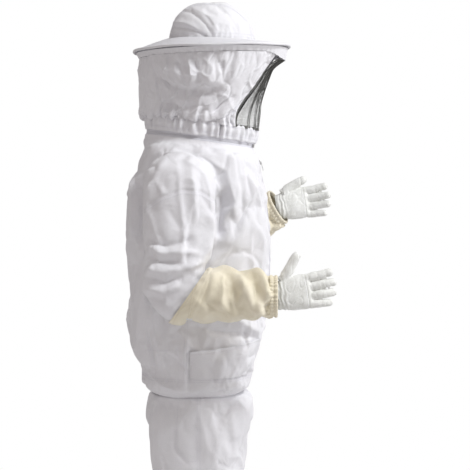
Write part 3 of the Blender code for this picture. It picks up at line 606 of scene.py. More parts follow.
class Arm:
    # the directions of one arm, and rings across its forearm

    def __init__(self, side):
        shape = armShapes[side]
        self.side, self.name = side, sideNames[side]
        self.rings, self.down = shape["rings"], unit(shape["down"])
        self.elbow, self.forward = np.array(shape["elbow"]), unit(shape["forward"])
        self.up = unit(np.array((0, 0, 1)) - self.forward * self.forward[2])
        self.out = unit(np.cross(self.forward, self.up))
        self.mouth, self.slant, self.hand = shape["mouth"], shape["slant"], unit(shape["hand"])
        self.wrist = self.elbow + self.forward * wristAhead

    def share(self, t):
        return self.mouth + (wristAhead - self.mouth) * t

    def ring(self, ahead, halfUp, halfOut, slant=0.0, count=ringPoints):
        centre = self.elbow + self.forward * ahead
        lean = self.up * halfUp + self.forward * halfUp * slant
        return ovalRing(centre - lean, centre + lean, halfOut, self.out, count)


arms = {side: Arm(side) for side in (-1, 1)}


def sleeveRings(arm):
    # from inside the body, over the dropped shoulder, round the elbow and down to the cuff
    def armhole(x, radius):
        middle = arm.side * x
        return ovalRing((middle, shoulder["y"], shoulder["z"] - radius),
                        (middle, shoulder["y"], shoulder["z"] + radius), radius, (0, 1, 0))

    upper = [armhole(0.135, shoulder["radius"] - 0.010), armhole(0.186, shoulder["radius"])]
    for inner, outer, half in arm.rings:
        inner, outer = np.array(inner), np.array(outer)
        inner[0] *= arm.side
        outer[0] *= arm.side
        upper.append(ovalRing(inner, outer, half, (0, 1, 0)))
    rings = list(through(upper, 44))
    start = rings[-1]
    goal = matchRing(start, arm.ring(arm.mouth + 0.006, 0.056, 0.056, arm.slant))
    for t in np.linspace(0, 1, 22)[1:]:
        reach = np.linalg.norm(goal - start, axis=1)[:, None] * 0.36
        first, second = start + arm.down * reach, goal - arm.forward * reach
        rings.append(start * (1 - t) ** 3 + first * 3 * t * (1 - t) ** 2
                     + second * 3 * t * t * (1 - t) + goal * t ** 3)
    lower = [goal]
    for ahead, size in ((arm.share(0.30), 0.053), (arm.share(0.55), 0.048), (wristAhead - 0.050, 0.039),
                        (wristAhead - 0.030, 0.037)):
        lower.append(matchRing(lower[-1], arm.ring(ahead, size, size)))
    return rings + list(through(lower, 26))[1:]


# creases of the worn jacket, as lines of (y, z) seen from the wearer's right
sideFolds = [
    # the sleeve's ironed crease, the folds before it, and the slit before the armpit
    ([(0.055, -0.060), (0.044, -0.180), (0.028, -0.320)], 0.0060, 0.0060),
    ([(0.018, -0.075), (0.010, -0.160), (-0.004, -0.250)], 0.0110, 0.0060),
    ([(-0.060, -0.140), (-0.062, -0.195), (-0.050, -0.290)], 0.0080, -0.0220),
    ([(-0.030, -0.200), (-0.034, -0.250), (-0.020, -0.320)], 0.0080, 0.0090),
    ([(-0.010, -0.060), (-0.070, -0.100), (-0.084, -0.170), (-0.092, -0.240)], 0.0100, 0.0120),
    ([(-0.106, -0.110), (-0.112, -0.200), (-0.118, -0.240)], 0.0090, -0.0080),
    ([(-0.130, -0.090), (-0.136, -0.200)], 0.0120, 0.0060),
    ([(0.080, -0.060), (0.110, -0.110), (0.140, -0.160)], 0.0100, 0.0070),
    ([(0.100, -0.048), (0.140, -0.100), (0.156, -0.170)], 0.0080, -0.0080),
    # behind the sleeve, along the back edge
    ([(0.150, -0.120), (0.151, -0.220), (0.156, -0.320)], 0.0075, -0.0130),
    ([(0.166, -0.080), (0.170, -0.190), (0.176, -0.290)], 0.0065, 0.0090),
    ([(0.184, -0.080), (0.184, -0.200)], 0.0060, -0.0060),
    # the elbow
    ([(0.150, -0.268), (0.100, -0.292), (0.050, -0.288), (0.000, -0.268)], 0.0075, -0.0120),
    ([(0.150, -0.290), (0.090, -0.312), (0.030, -0.308), (-0.020, -0.316)], 0.0085, 0.0110),
    ([(0.148, -0.318), (0.100, -0.334), (0.040, -0.336)], 0.0070, -0.0120),
    ([(0.148, -0.345), (0.090, -0.360), (0.030, -0.350), (-0.020, -0.330)], 0.0085, 0.0110),
    ([(0.138, -0.372), (0.085, -0.388), (0.030, -0.372)], 0.0070, -0.0110),
    ([(0.136, -0.400), (0.085, -0.412), (0.035, -0.392)], 0.0080, 0.0090),
    ([(0.126, -0.424), (0.080, -0.436)], 0.0060, -0.0080),
    # under the arm, and the pleat over the side seam
    ([(0.070, -0.500), (0.030, -0.548), (0.036, -0.620), (0.034, -0.700)], 0.0080, 0.0080),
    ([(0.020, -0.552), (0.024, -0.640), (0.024, -0.705)], 0.0060, -0.0080),
    ([(0.052, -0.560), (0.052, -0.690)], 0.0060, -0.0060),
    ([(-0.030, -0.470), (-0.110, -0.500), (-0.165, -0.545)], 0.0150, 0.0090),
    ([(-0.010, -0.520), (-0.080, -0.535), (-0.150, -0.548)], 0.0100, -0.0060),
    ([(0.100, -0.310), (0.140, -0.420), (0.165, -0.560)], 0.0170, 0.0100),
    ([(0.050, -0.470), (0.090, -0.560), (0.096, -0.650)], 0.0130, 0.0080),
    ([(0.140, -0.480), (0.130, -0.580), (0.120, -0.680)], 0.0110, -0.0080),
    ([(-0.060, -0.590), (-0.066, -0.640), (-0.080, -0.700)], 0.0110, 0.0060),
    ([(-0.130, -0.540), (-0.120, -0.600), (-0.126, -0.660)], 0.0110, 0.0060),
    ([(-0.020, -0.660), (-0.070, -0.690), (-0.120, -0.672)], 0.0090, 0.0050),
    ([(0.060, -0.690), (0.110, -0.672), (0.150, -0.640)], 0.0100, 0.0060),
]
frontFolds = [   # lines of (x, z) on the chest
    ([(-0.150, -0.100), (-0.115, -0.220), (-0.110, -0.330)], 0.014, 0.0060),
    ([(0.150, -0.100), (0.120, -0.220), (0.122, -0.330)], 0.014, 0.0060),
    ([(-0.080, -0.090), (-0.060, -0.180)], 0.012, -0.0040),
    ([(0.070, -0.090), (0.058, -0.190)], 0.012, -0.0040),
    ([(-0.140, -0.400), (-0.080, -0.500), (-0.060, -0.600)], 0.016, 0.0050),
    ([(0.140, -0.400), (0.090, -0.480), (0.064, -0.620)], 0.016, 0.0050),
]
backFolds = [
    ([(-0.120, -0.090), (-0.085, -0.220), (-0.100, -0.360)], 0.018, 0.0070),
    ([(0.120, -0.090), (0.088, -0.220), (0.104, -0.360)], 0.018, 0.0070),
    ([(-0.040, -0.110), (-0.030, -0.260)], 0.016, -0.0040),
    ([(0.046, -0.110), (0.034, -0.280)], 0.016, -0.0040),
    ([(-0.120, -0.420), (-0.040, -0.500), (0.060, -0.520)], 0.018, 0.0060),
    ([(0.130, -0.400), (0.060, -0.470), (-0.030, -0.560)], 0.016, 0.0050),
    ([(-0.090, -0.560), (-0.080, -0.650)], 0.012, 0.0045),
    ([(0.080, -0.550), (0.090, -0.650)], 0.012, 0.0045),
]
shoulderSeam = [(0.146, -0.200), (0.100, -0.168), (0.042, -0.148), (-0.010, -0.152), (-0.044, -0.174)]


def jacketShape():
    turns = fullTurn(112)
    keys = [neckRing(neck["radius"] + 0.0030, 0.004, turns), neckRing(neck["radius"] + 0.0035, -0.014, turns)]
    keys += [torsoRing(level, turns) for level in jacket["levels"]]
    sag = np.stack([turns * 0, turns * 0, -0.010 * np.sin(turns) ** 2], 1)
    for drop, tuck in ((0.025, -0.001), (0.042, 0.008), (0.052, 0.022), (0.055, 0.040)):
        keys.append(torsoRing(jacket["levels"][-1], turns, -tuck) + np.array((0, 0, -drop)) + sag)
    parts = [loft("body", through(keys, 110), caps=True)]
    parts += [loft("arm", sleeveRings(arms[side]), caps=True) for side in (-1, 1)]
    piece = joinPieces("jacket", parts, [])
    modify(piece, "REMESH", mode="VOXEL", voxel_size=jacket["voxel"])
    modify(piece, "SMOOTH", factor=0.5, iterations=7)
    points, normals = getPoints(piece), getNormals(piece)
    zipHeld = smooth(1.6 - np.abs(points[:, 0]) / 0.022) * (points[:, 1] < -0.05)
    amounts = np.zeros(len(points))
    for side in (-1, 1):
        chosen = sideFolds if side < 0 else sideFolds[:12] + sideFolds[19:]
        amounts += foldPush(points, normals, chosen, [1, 2], (side, 0, 0))
        arm = arms[side]
        amounts += bendCreases(points, normals, arm.elbow, arm.forward + arm.down,
                               arm.forward - arm.down)
    amounts += foldPush(points, normals, frontFolds, [0, 2], (0, -1, 0), 1.4)
    amounts += foldPush(points, normals, backFolds, [0, 2], (0, 1, 0), 1.4)
    amounts += bumpy(points, (0.06, 0.06, 0.18), 3.0) * 0.0070 + bumpy(
        points, (0.03, 0.03, 0.05), 9.0) * 0.0028
    amounts += 0.0050 * thinCreases(points, (0.05, 0.07, 0.16), 21.0) - 0.0035 * thinCreases(
        points, (0.08, 0.05, 0.12), 33.0)
    amounts *= 1 - zipHeld
    edge = smooth((-0.030 - points[:, 2]) / 0.03) * smooth((points[:, 2] - jacket["hemSeam"]) / 0.02)
    push(piece, amounts * edge)
    points = getPoints(piece)
    ahead = [(points - arms[s].elbow) @ arms[s].forward for s in (-1, 1)]
    inGlove = [(ahead[k] > 0.13) & (np.abs(points[:, 0]) > 0.20) for k in (0, 1)]
    height = (points - neckFrame[:3, 3]) @ neckFrame[:3, 2]
    held = (height > -0.022) | (points[:, 2] < -0.695) | (zipHeld > 0.5) | inGlove[0] | inGlove[1]
    settle(piece, held, 0.055, 1.0, 0.014)
    modify(piece, "SUBSURF", levels=1, render_levels=1)
    return piece


def cutAwayRound(piece, tuck):
    # opens the bottom, where the hem has been drawn in this far
    bm = bmesh.new()
    bm.from_mesh(piece.data)
    away = []
    for v in bm.verts:
        turn = atan2(-v.co.x, -(v.co.y - 0.010))
        edge = torsoRing(jacket["levels"][-1], np.array([turn]), -tuck)[0]
        if v.co.z < -0.690 and np.hypot(v.co.x, v.co.y - 0.010) < np.hypot(edge[0], edge[1] - 0.010):
            away.append(v)
    bmesh.ops.delete(bm, geom=away, context="VERTS")
    bm.to_mesh(piece.data)
    bm.free()


def keepFaces(piece, kept):
    bm = bmesh.new()
    bm.from_mesh(piece.data)
    bmesh.ops.delete(bm, geom=[f for f in bm.faces if not kept[f.index]], context="FACES")
    bm.to_mesh(piece.data)
    bm.free()


def splitJacket(whole):
    # the sleeve is everything beyond the armhole, and the body is what is still joined to the chest
    bm = bmesh.new()
    bm.from_mesh(whole.data)
    for side in (-1, 1):
        bmesh.ops.bisect_plane(bm, geom=bm.verts[:] + bm.edges[:] + bm.faces[:], dist=0.00001,
                               plane_co=(side * shoulder["cut"], 0, 0), plane_no=(side, 0, 0))
    bm.to_mesh(whole.data)
    bm.free()
    bm = bmesh.new()
    bm.from_mesh(whole.data)
    bm.faces.ensure_lookup_table()
    centres = np.array([f.calc_center_median() for f in bm.faces])
    ring = np.hypot(centres[:, 1] - shoulder["y"], centres[:, 2] - shoulder["z"]) < 0.114
    beyond = (np.abs(centres[:, 0]) > shoulder["cut"]) & ring
    start = int(np.argmin(np.linalg.norm(centres - (0, frontLine(-0.3), -0.3), axis=1)))
    chest, waiting = np.zeros(len(centres), bool), [start]
    chest[start] = True
    while waiting:
        for edge in bm.faces[waiting.pop()].edges:
            for face in edge.link_faces:
                if not chest[face.index] and not beyond[face.index]:
                    chest[face.index] = True
                    waiting.append(face.index)
    bm.free()
    body = copyPiece(whole, "jacketBody")
    keepFaces(body, chest)
    cutAway(body, neckRing(0.0, -0.0066, np.zeros(1))[0], neckFrame[:3, 2])
    cutAwayRound(body, 0.034)
    sleeves = {}
    for side in (-1, 1):
        sleeve = copyPiece(whole, "sleeve_" + sideNames[side])
        keepFaces(sleeve, ~chest & (centres[:, 0] * side > 0))
        arm = arms[side]
        cutAway(sleeve, arm.elbow + arm.forward * (wristAhead - 0.048), arm.forward)
        sleeves[side] = sleeve
    bpy.data.objects.remove(whole)
    for piece in [body, *sleeves.values()]:
        piece.data.materials.append(whiteCloth)
        piece.data.materials.append(sewingThread)
    return body, sleeves


body, sleeves = splitJacket(jacketShape())
print("jacket and sleeves shaped:", len(body.data.polygons), "faces in the body")


def sewSleeve(side):
    sleeve, arm = sleeves[side], arms[side]
    line = shoulderSeam if side < 0 else [(y, z + 0.030) for y, z in shoulderSeam]
    gap, _ = fromLine(getPoints(sleeve)[:, 1:], line)
    outside = getPoints(sleeve)[:, 0] * side > 0.235
    push(sleeve, -0.0022 * np.exp(-(gap / 0.0045) ** 2) * outside)
    tree = surfaceOf(sleeve)
    runs = [sideLine(tree, besideLine(line, offset), side) for offset in (0.0035, 0.0095)]
    addStitches(sleeve, runs)
    along = unit(arm.forward + arm.down)
    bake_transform(sleeve)
    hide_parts(*(kind + arm.name for kind in ("shoulder_cap_", "upper_sleeve_", "elbow_gusset_",
                                                         "forearm_sleeve_")))
    return sleeve


def gatheredRing(name, rows, pleats, depth, materials, count=360, seed=1.0):
    # a sewn casing gathered by its elastic; rows are (function of turns giving a ring, depth share)
    turns = fullTurn(count)
    rings = []
    wobble = bumpy(np.stack([np.cos(turns) * 3, np.sin(turns) * 3, turns * 0 + seed], 1), (1, 1, 1), seed)
    waves = np.sin(turns * pleats + wobble * 4.0) * 0.6 + np.sin(turns * pleats * 0.43 + wobble * 6.0) * 0.4
    keys = [ring(turns) for ring, _ in rows]
    shares = through([[share] for _, share in rows], len(rows) * 5)[:, 0]
    dense = through(keys, len(rows) * 5)
    for ring, share in zip(dense, shares):
        ahead = np.roll(ring, -1, axis=0) - np.roll(ring, 1, axis=0)
        outward = np.cross(ahead, (0, 0, 1.0))
        outward /= np.linalg.norm(outward, axis=1)[:, None]
        if (outward * (ring - ring.mean(0))).sum() < 0:
            outward = -outward
        rings.append(ring + outward * (waves * depth * share)[:, None])
    return loft(name, rings, materials=materials)


def radialRuns(piece, heights, middle, count=520, fromInside=True, spread=2 * pi, start=0.0):
    # rings of stitches round a piece, at the given heights
    tree = surfaceOf(piece)
    runs = []
    for height in heights:
        turns = start + np.linspace(0, spread, count)
        directions = [(-sin(t), -cos(t), 0) for t in turns]
        z = height if np.ndim(height) else np.full(count, height)
        found = []
        for direction, level in zip(directions, z):
            centre = np.array((middle[0], middle[1], level))
            begin = centre if fromInside else centre + np.array(direction) * 0.5
            aim = direction if fromInside else tuple(-c for c in direction)
            hit, normal, _, _ = tree.ray_cast(Vector(begin), Vector(aim))
            if hit is not None:
                normal = np.array(normal)
                found.append((np.array(hit), normal if normal @ np.array(direction) > 0 else -normal))
        runs.append(found)
    return runs


def dressBody():
    tree = surfaceOf(body)
    runs = []
    for side in (-1, 1):
        for offset in (0.000, 0.006):
            seam = [(0.030 + offset, -0.245), (0.030 + offset, -0.500), (0.034 + offset, -0.650)]
            runs.append(sideLine(tree, seam, side))
        runs.append(sideLine(tree, [(0.045, -0.582), (0.100, -0.583), (0.150, -0.586)], side))
    for x in (-0.0215, 0.0215):   # topstitching beside the front zip
        levels = np.linspace(-0.060, -0.680, 150)
        runs.append(layOn(tree, [(x, -0.6, z) for z in levels], [(0, 1, 0)] * len(levels)))
    runs += radialRuns(body, [-0.668, -0.662], (0, 0.01, 0))
    addStitches(body, runs)
    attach(body, "jacket")
    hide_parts("jacket_back", "jacket_front_right", "jacket_front_left")


bodyTree = surfaceOf(body)
dressBody()
for side in (-1, 1):
    sewSleeve(side)


def frontPocket(side):
    # a second layer on the front, open along its slanted top
    own = {"front": radians(25), "side": radians(93), "topFront": -0.555, "topSide": -0.582, "low": -0.658}
    turns = np.linspace(own["front"], own["side"], 60)
    tops = np.linspace(own["topFront"], own["topSide"], 60)
    rings = []
    for t in np.linspace(0, 1, 34):
        row = []
        for turn, top in zip(turns, tops):
            z = top + (own["low"] - top) * t
            here = torsoRing(levelAt(z), np.array([-side * turn]), 0.030)[0]
            inward = np.array((0, 0.01, z)) - here
            hit, normal, _, _ = bodyTree.ray_cast(Vector(here), Vector(inward).normalized())
            lift = 0.0014 + 0.0030 * (1 - smooth(t / 0.10)) + 0.0010 * sin(turn * 9 + t * 4)
            row.append(np.array(hit) + np.array(normal) * lift if hit is not None else here)
        rings.append(row)
    piece = loft("frontPocket_" + sideNames[side], rings, closed=False, materials=[whiteCloth, sewingThread])
    grid = np.array(rings)
    normals = getNormals(piece).reshape(34, 60, 3)
    runs = []
    for row in (1, 4):
        runs.append([(grid[row, k], normals[row, k]) for k in range(60)])
    for column in (1, 58):
        runs.append([(grid[k, column], normals[k, column]) for k in range(34)])
    addStitches(piece, runs)
    modify(piece, "SOLIDIFY", thickness=0.0009, offset=1.0)
    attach(piece, "jacket")
    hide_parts("front_pocket_" + sideNames[side])


for side in (-1, 1):
    frontPocket(side)


def hemCasing():
    hem = jacket["levels"][-1]

    def at(z, tuck):
        def ring(turns):
            base = torsoRing(hem, turns, -tuck)
            base[:, 2] = z - 0.008 * np.sin(turns) ** 2
            return base
        return ring

    rows = [(at(-0.702, 0.030), 0.6), (at(-0.705, 0.034), 1.0), (at(-0.706, 0.038), 1.0),
            (at(-0.700, 0.042), 1.0), (at(-0.688, 0.043), 0.9), (at(-0.672, 0.042), 0.8),
            (at(-0.662, 0.040), 0.8)]
    piece = gatheredRing("hemCasing", rows, 58, 0.0022, [whiteCloth, sewingThread], 420, 4.0)
    points = getPoints(piece)
    push(piece, bumpy(points, (0.03, 0.03, 0.03), 2.0) * 0.002)
    addStitches(piece, radialRuns(piece, [-0.675, -0.682], (0, 0.01, 0)))
    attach(piece, "jacket")
    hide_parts("hem_casing")


hemCasing()
print("jacket sewn, with pockets and hem")


# zips

def toothRow(points, normals, along, size, materials, name):
    # small rounded teeth along a line
    allPoints, allFaces = [], []
    half = np.array(size) / 2
    for p, n, a in zip(points, normals, along):
        across = unit(np.cross(a, n))
        first = len(allPoints)
        for x, scale in ((-1, 0.6), (-0.6, 1.0), (0.6, 1.0), (1, 0.6)):
            for y, z in ((-1, -1), (1, -1), (1, 1), (-1, 1)):
                allPoints.append(p + across * half[0] * x + a * half[1] * y * scale + n * half[2] * z * scale)
        allFaces += gridFaces(4, 4, True, first)
        allFaces.append(tuple(first + k for k in (3, 2, 1, 0)))
        allFaces.append(tuple(first + 12 + k for k in range(4)))
    return makePiece(name, allPoints, allFaces, materials)


def ribbon(name, rows, materials, wall=0.0007):
    piece = loft(name, rows, closed=False, materials=materials)
    modify(piece, "SOLIDIFY", thickness=wall, offset=0.0)
    return piece


def frontZip():
    own = {"width": 0.0135, "pitch": 0.0030, "top": -0.060, "low": -0.652}
    arc, centre = jacket["arc"], (jacket["arc"] - 0.196, jacket["fullest"])

    def onArc(z, out):
        reach = sqrt(arc ** 2 - (z - centre[1]) ** 2)
        normal = np.array((0, -reach / arc, (z - centre[1]) / arc))
        return np.array((0, centre[0] - reach, z)) + normal * out, normal

    for side in (-1, 1):
        rows = []
        for z in np.linspace(own["top"], own["low"], 200):
            middle, normal = onArc(z, -0.0006)
            rows.append([middle + np.array((side * (0.0016 + own["width"] * t), 0.012 * t * t, 0))
                         + normal * 0.0009 * sin(pi * t) for t in np.linspace(0, 1, 6)])
        tape = ribbon("frontZipTape_" + sideNames[side], rows, [zipTape, zipTeeth])
        spots = np.arange(own["top"], own["low"], -own["pitch"]) - (0 if side < 0 else own["pitch"] / 2)
        places = [onArc(z, 0.0003) for z in spots]
        teeth = toothRow([p + np.array((side * 0.0012, 0, 0)) for p, _ in places], [n for _, n in places],
                         [unit(np.cross((1, 0, 0), n)) for _, n in places], (0.0036, 0.0016, 0.0013),
                         [zipTape, zipTeeth], "teeth")
        teeth.data.polygons.foreach_set("material_index", [1] * len(teeth.data.polygons))
        joined = joinPieces("frontZipSide_" + sideNames[side], [tape, teeth], [zipTape, zipTeeth])
        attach(joined, "jacket")
        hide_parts("front_zip_tape_" + sideNames[side])


def collarZip(upper):
    name, bodyName = ("collarZipUpper", "hood") if upper else ("collarZipLower", "jacket")
    sign = 1 if upper else -1
    turns = fullTurn(300)
    ripple = 0.0009 * np.sin(turns * 31 + 2 * np.sin(turns * 5))
    rings = []
    profile = ((0.0, -0.0014), (0.0, -0.0002), (0.35, 0.0006), (0.7, 0.0004), (1.0, -0.0003), (1.0, -0.0014))
    for t, out in profile:
        height = sign * (neck["coil"] + neck["tape"] * t)
        rings.append(neckRing(neck["radius"] + out + ripple * t, height, turns))
    tape = loft(name + "Tape", rings, materials=[zipTape, zipTeeth])
    count = 372
    spots = fullTurn(count) + (0 if upper else pi / count)
    places = neckRing(neck["radius"] - 0.0004, sign * 0.0011, spots)
    outward = neckRing(1.0, 0.0, spots) - neckRing(0.0, 0.0, spots)
    ahead = [unit(np.cross(neckFrame[:3, 2], n)) for n in outward]
    teeth = toothRow(places, outward, ahead, (0.0032, 0.0014, 0.0014), [zipTape, zipTeeth], "teeth")
    teeth.data.polygons.foreach_set("material_index", [1] * len(teeth.data.polygons))
    joined = joinPieces(name, [tape, teeth], [zipTape, zipTeeth])
    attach(joined, bodyName)
    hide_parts("collar_zip_upper" if upper else "collar_zip_lower")


frontZip()
collarZip(False)
collarZip(True)


def finishNode(nodeName, material):
    # a CAD piece whose shape is right keeps it, with its own finish
    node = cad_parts[nodeName]
    node.data.materials.clear()
    node.data.materials.append(material)


for nodeName in ("front_zip_slider", "front_zip_pull", "collar_zip_slider_right", "collar_zip_slider_left"):
    finishNode(nodeName, zipMetal)
for nodeName in ("hem_elastic", "neck_elastic", "waist_elastic"):
    finishNode(nodeName, bandElastic)


def armholeFacing(side):
    # the turned-in strip of cloth inside the armhole
    rings = []
    for x, radius in through([(0.1600, 0.0820), (0.1640, 0.0850), (0.1760, 0.0868), (0.1885, 0.0872),
                              (0.1890, 0.0858), (0.1760, 0.0850), (0.1620, 0.0815)], 21):
        ring = ovalRing((side * x, shoulder["y"], shoulder["z"] - radius),
                        (side * x, shoulder["y"], shoulder["z"] + radius), radius, (0, 1, 0), 120)
        turns = fullTurn(120)
        ripple = 0.0007 * np.sin(turns * 23 + 2 * np.sin(turns * 3))
        middle = np.array((side * x, shoulder["y"], shoulder["z"]))
        rings.append(middle + (ring - middle) * (1 + ripple[:, None] / radius))
    piece = loft("armholeFacing_" + sideNames[side], rings, materials=[whiteCloth, sewingThread])
    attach(piece, "jacket")
    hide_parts("armhole_facing_" + sideNames[side])


for side in (-1, 1):
    armholeFacing(side)
print("zips made")


# hood: hat, veil and net

hat = {"place": (0, -0.033, 0.257), "tilt": radians(-2.0), "crownRadius": 0.118, "crownHeight": 0.113,
       "brimRadius": 0.217, "brimDrop": 0.018, "wall": 0.003, "rim": 0.0032, "roundness": 2.25}
hatTurn = np.array(Matrix.Rotation(hat["tilt"], 3, "X"))


def hatRing(radius, height, turns):
    radius, height = np.broadcast_to(radius, turns.shape), np.broadcast_to(height, turns.shape)
    local = np.stack([-radius * np.sin(turns), -radius * np.cos(turns), height], -1)
    return local @ hatTurn.T + np.array(hat["place"])


crownFolds = [   # lines of (y, z) across the side of the crown
    ([(0.060, 0.344), (0.020, 0.335), (-0.020, 0.300), (-0.040, 0.262)], 0.0050, -0.0050),
    ([(0.072, 0.338), (0.020, 0.348), (-0.030, 0.318), (-0.060, 0.270)], 0.0080, 0.0045),
    ([(0.085, 0.300), (0.030, 0.290), (-0.020, 0.268), (-0.040, 0.256)], 0.0045, -0.0050),
    ([(0.086, 0.312), (0.036, 0.304), (-0.006, 0.284)], 0.0070, 0.0045),
    ([(-0.030, 0.368), (-0.080, 0.330), (-0.110, 0.280)], 0.0110, -0.0030),
]


def hatCrown():
    turns = fullTurn(200)
    rings = []
    power = hat["roundness"]
    for share in np.r_[np.linspace(0.0, 0.90, 40), np.linspace(0.915, 0.9995, 26)]:
        radius = hat["crownRadius"] * (1 - share ** power) ** (1 / power)
        rings.append(hatRing(radius, 0.002 + (hat["crownHeight"] - 0.001) * share, turns))
    piece = loft("hatCrown", rings, materials=[hatCloth, sewingThread])
    top = len(getPoints(piece))
    bm = bmesh.new()
    bm.from_mesh(piece.data)
    bm.verts.ensure_lookup_table()
    cap = bm.faces.new([bm.verts[top - 200 + k] for k in range(200)])
    bmesh.ops.recalc_face_normals(bm, faces=bm.faces)
    cap.smooth = True
    bm.to_mesh(piece.data)
    bm.free()
    points, normals = getPoints(piece), getNormals(piece)
    local = points - np.array(hat["place"])
    turn = np.arctan2(-local[:, 0], -local[:, 1])
    height = local[:, 2] / hat["crownHeight"]
    # two curved seams from front to back
    seamGap = np.abs(np.abs(local[:, 0]) - 0.046 - 0.012 * np.cos(local[:, 1] * 16))
    amounts = -0.0012 * np.exp(-(seamGap / 0.0035) ** 2) * smooth((height - 0.22) / 0.2)
    amounts += bumpy(points, (0.05, 0.06, 0.05), 5.0) * 0.0026 * smooth(height / 0.15)
    for side in (-1, 1):
        amounts += foldPush(points, normals, crownFolds, [1, 2], (side, 0, 0))
    amounts += 0.0012 * np.sin(turn * 38 + 3 * np.sin(turn * 5)) * np.exp(-(height / 0.14) ** 2)
    push(piece, amounts)
    settle(piece, height < 0.04, 0.020, 1.0, 0.004, 10)
    tree = surfaceOf(piece)
    runs = []
    for side in (-1, 1):
        for offset in (-0.0035, 0.0035):
            y = np.linspace(-0.115, 0.115, 120)
            x = side * (0.046 + 0.012 * np.cos(y * 16) + offset)
            above = [(a, b + hat["place"][1], 0.6) for a, b in zip(x, y)]
            runs.append(layOn(tree, above, [(0, 0, -1)] * len(above)))
    runs += radialRuns(piece, [hat["place"][2] + 0.012, hat["place"][2] + 0.020], hat["place"])
    addStitches(piece, runs)
    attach(piece, "hood")
    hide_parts("hat_crown")


def hatBrim():
    turns = fullTurn(240)
    start, end = hat["crownRadius"] + 0.0006, hat["brimRadius"] - hat["rim"]
    wave = 0.0013 * np.sin(turns * 3 + 0.6) + 0.0008 * np.sin(turns * 7)
    lift = 0.0055 - 0.0085 * np.cos(turns)      # the brim climbs higher up the crown at the back

    def surface(radius, under):
        share = (radius - start) / (end - start)
        height = -hat["brimDrop"] * share ** 1.35 + (0.0 if under else hat["wall"])
        stitched = 0.00055 * cos(share * 2 * pi * 9) * (-1 if under else 1)
        return hatRing(radius, height + wave * share + lift * (1 - share) + stitched, turns)

    radii = np.linspace(start, end, 92)
    rings = [surface(r, False) for r in radii] + [surface(r, True) for r in radii[::-1]]
    rings.append(rings[0])
    piece = loft("hatBrim", rings, materials=[hatCloth, sewingThread])
    modify(piece, "WELD", merge_threshold=0.00002)
    runs = []
    for k in range(9):
        radius = start + (end - start) * (k + 0.5) / 9
        for under in (False, True):
            ring = surface(radius, under)
            normal = hatTurn @ np.array((0, 0, -1.0 if under else 1.0))
            runs.append([(p, normal) for p in np.vstack([ring, ring[:1]])])
    addStitches(piece, runs)
    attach(piece, "hood")
    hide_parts("hat_brim")
    # the bound rim, with the wire inside it
    rings = []
    for turn in np.linspace(0, 2 * pi, 15):
        radius = hat["brimRadius"] + 0.0004 + hat["rim"] * 0.98 * np.cos(turn)
        height = hat["wall"] / 2 - hat["brimDrop"] + wave + hat["rim"] * 1.15 * np.sin(turn)
        pucker = 0.00018 * np.sin(turns * 120)
        rings.append(hatRing(radius + pucker, height, turns))
    rim = loft("brimBinding", rings[:-1] + [rings[0]], materials=[hatCloth, sewingThread])
    modify(rim, "WELD", merge_threshold=0.00002)
    for lift in (1, -1):
        ring = hatRing(hat["brimRadius"] - 0.0016, hat["wall"] / 2 - hat["brimDrop"] + wave
                       + lift * hat["rim"] * 1.0, turns)
        addStitches(rim, [[(p, np.array((0, 0, lift))) for p in ring]])
    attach(rim, "hood")
    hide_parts("brim_binding")


hatCrown()
hatBrim()

veil = {
    "topRadius": 0.207,
    # height, front, back, half width, half the angle that the net takes up
    "levels": [(0.187, -0.206, 0.175, 0.194, 26), (0.162, -0.193, 0.171, 0.191, 29),
               (0.133, -0.182, 0.167, 0.180, 35), (0.092, -0.169, 0.160, 0.166, 45),
               (0.059, -0.165, 0.157, 0.163, 52)],
    "netCell": 0.0030, "strand": 0.00048,
}


def veilRow(level, turns):
    z, front, back, width = level[:4]
    return np.stack([-width * np.sin(turns), (front + back) / 2 - (back - front) / 2 * np.cos(turns),
                     np.full(turns.shape, z)], -1)


def veilRows(first, last, count, topInset=0.013, topDrop=0.0285):
    levels = veil["levels"]
    netTop, netLow = radians(levels[0][4]), radians(levels[-1][4])
    def spreadOut(net):
        return np.linspace(first(net), last(net), count)

    rows = [hatRing(veil["topRadius"] - topInset, -hat["brimDrop"] - 0.010 - topDrop, spreadOut(netTop))]
    rows += [veilRow(level, spreadOut(radians(level[4]))) for level in levels]
    rows.append(neckRing(neck["radius"] + 0.006, 0.0440, spreadOut(netLow)))
    return rows


sideSwags = [   # the veil's own folds, as lines of (y, z)
    ([(0.150, 0.214), (0.090, 0.180), (0.040, 0.166), (-0.030, 0.160), (-0.090, 0.176), (-0.160, 0.210)],
     0.0210, 0.0170),
    ([(0.150, 0.190), (0.090, 0.142), (0.040, 0.126), (-0.030, 0.120), (-0.080, 0.134)], 0.0130, -0.0190),
    ([(0.130, 0.110), (0.050, 0.082), (-0.030, 0.090)], 0.0130, -0.0070),
    ([(0.060, 0.205), (0.052, 0.180), (0.030, 0.150)], 0.0060, -0.0070),
    ([(0.010, 0.208), (0.004, 0.180), (-0.004, 0.146)], 0.0065, -0.0080),
    ([(0.030, 0.206), (0.022, 0.180), (0.014, 0.150)], 0.0060, 0.0060),
    ([(-0.060, 0.200), (-0.068, 0.176)], 0.0070, -0.0060),
    ([(0.124, 0.180), (0.100, 0.110), (0.108, 0.056)], 0.0070, 0.0080),
    ([(0.096, 0.140), (0.080, 0.090), (0.084, 0.060)], 0.0060, -0.0080),
    ([(0.060, 0.120), (0.052, 0.060)], 0.0060, 0.0060),
    ([(-0.090, 0.150), (-0.040, 0.100), (0.020, 0.072)], 0.0080, 0.0090),
    ([(-0.100, 0.120), (-0.060, 0.090), (-0.030, 0.062)], 0.0070, -0.0080),
]


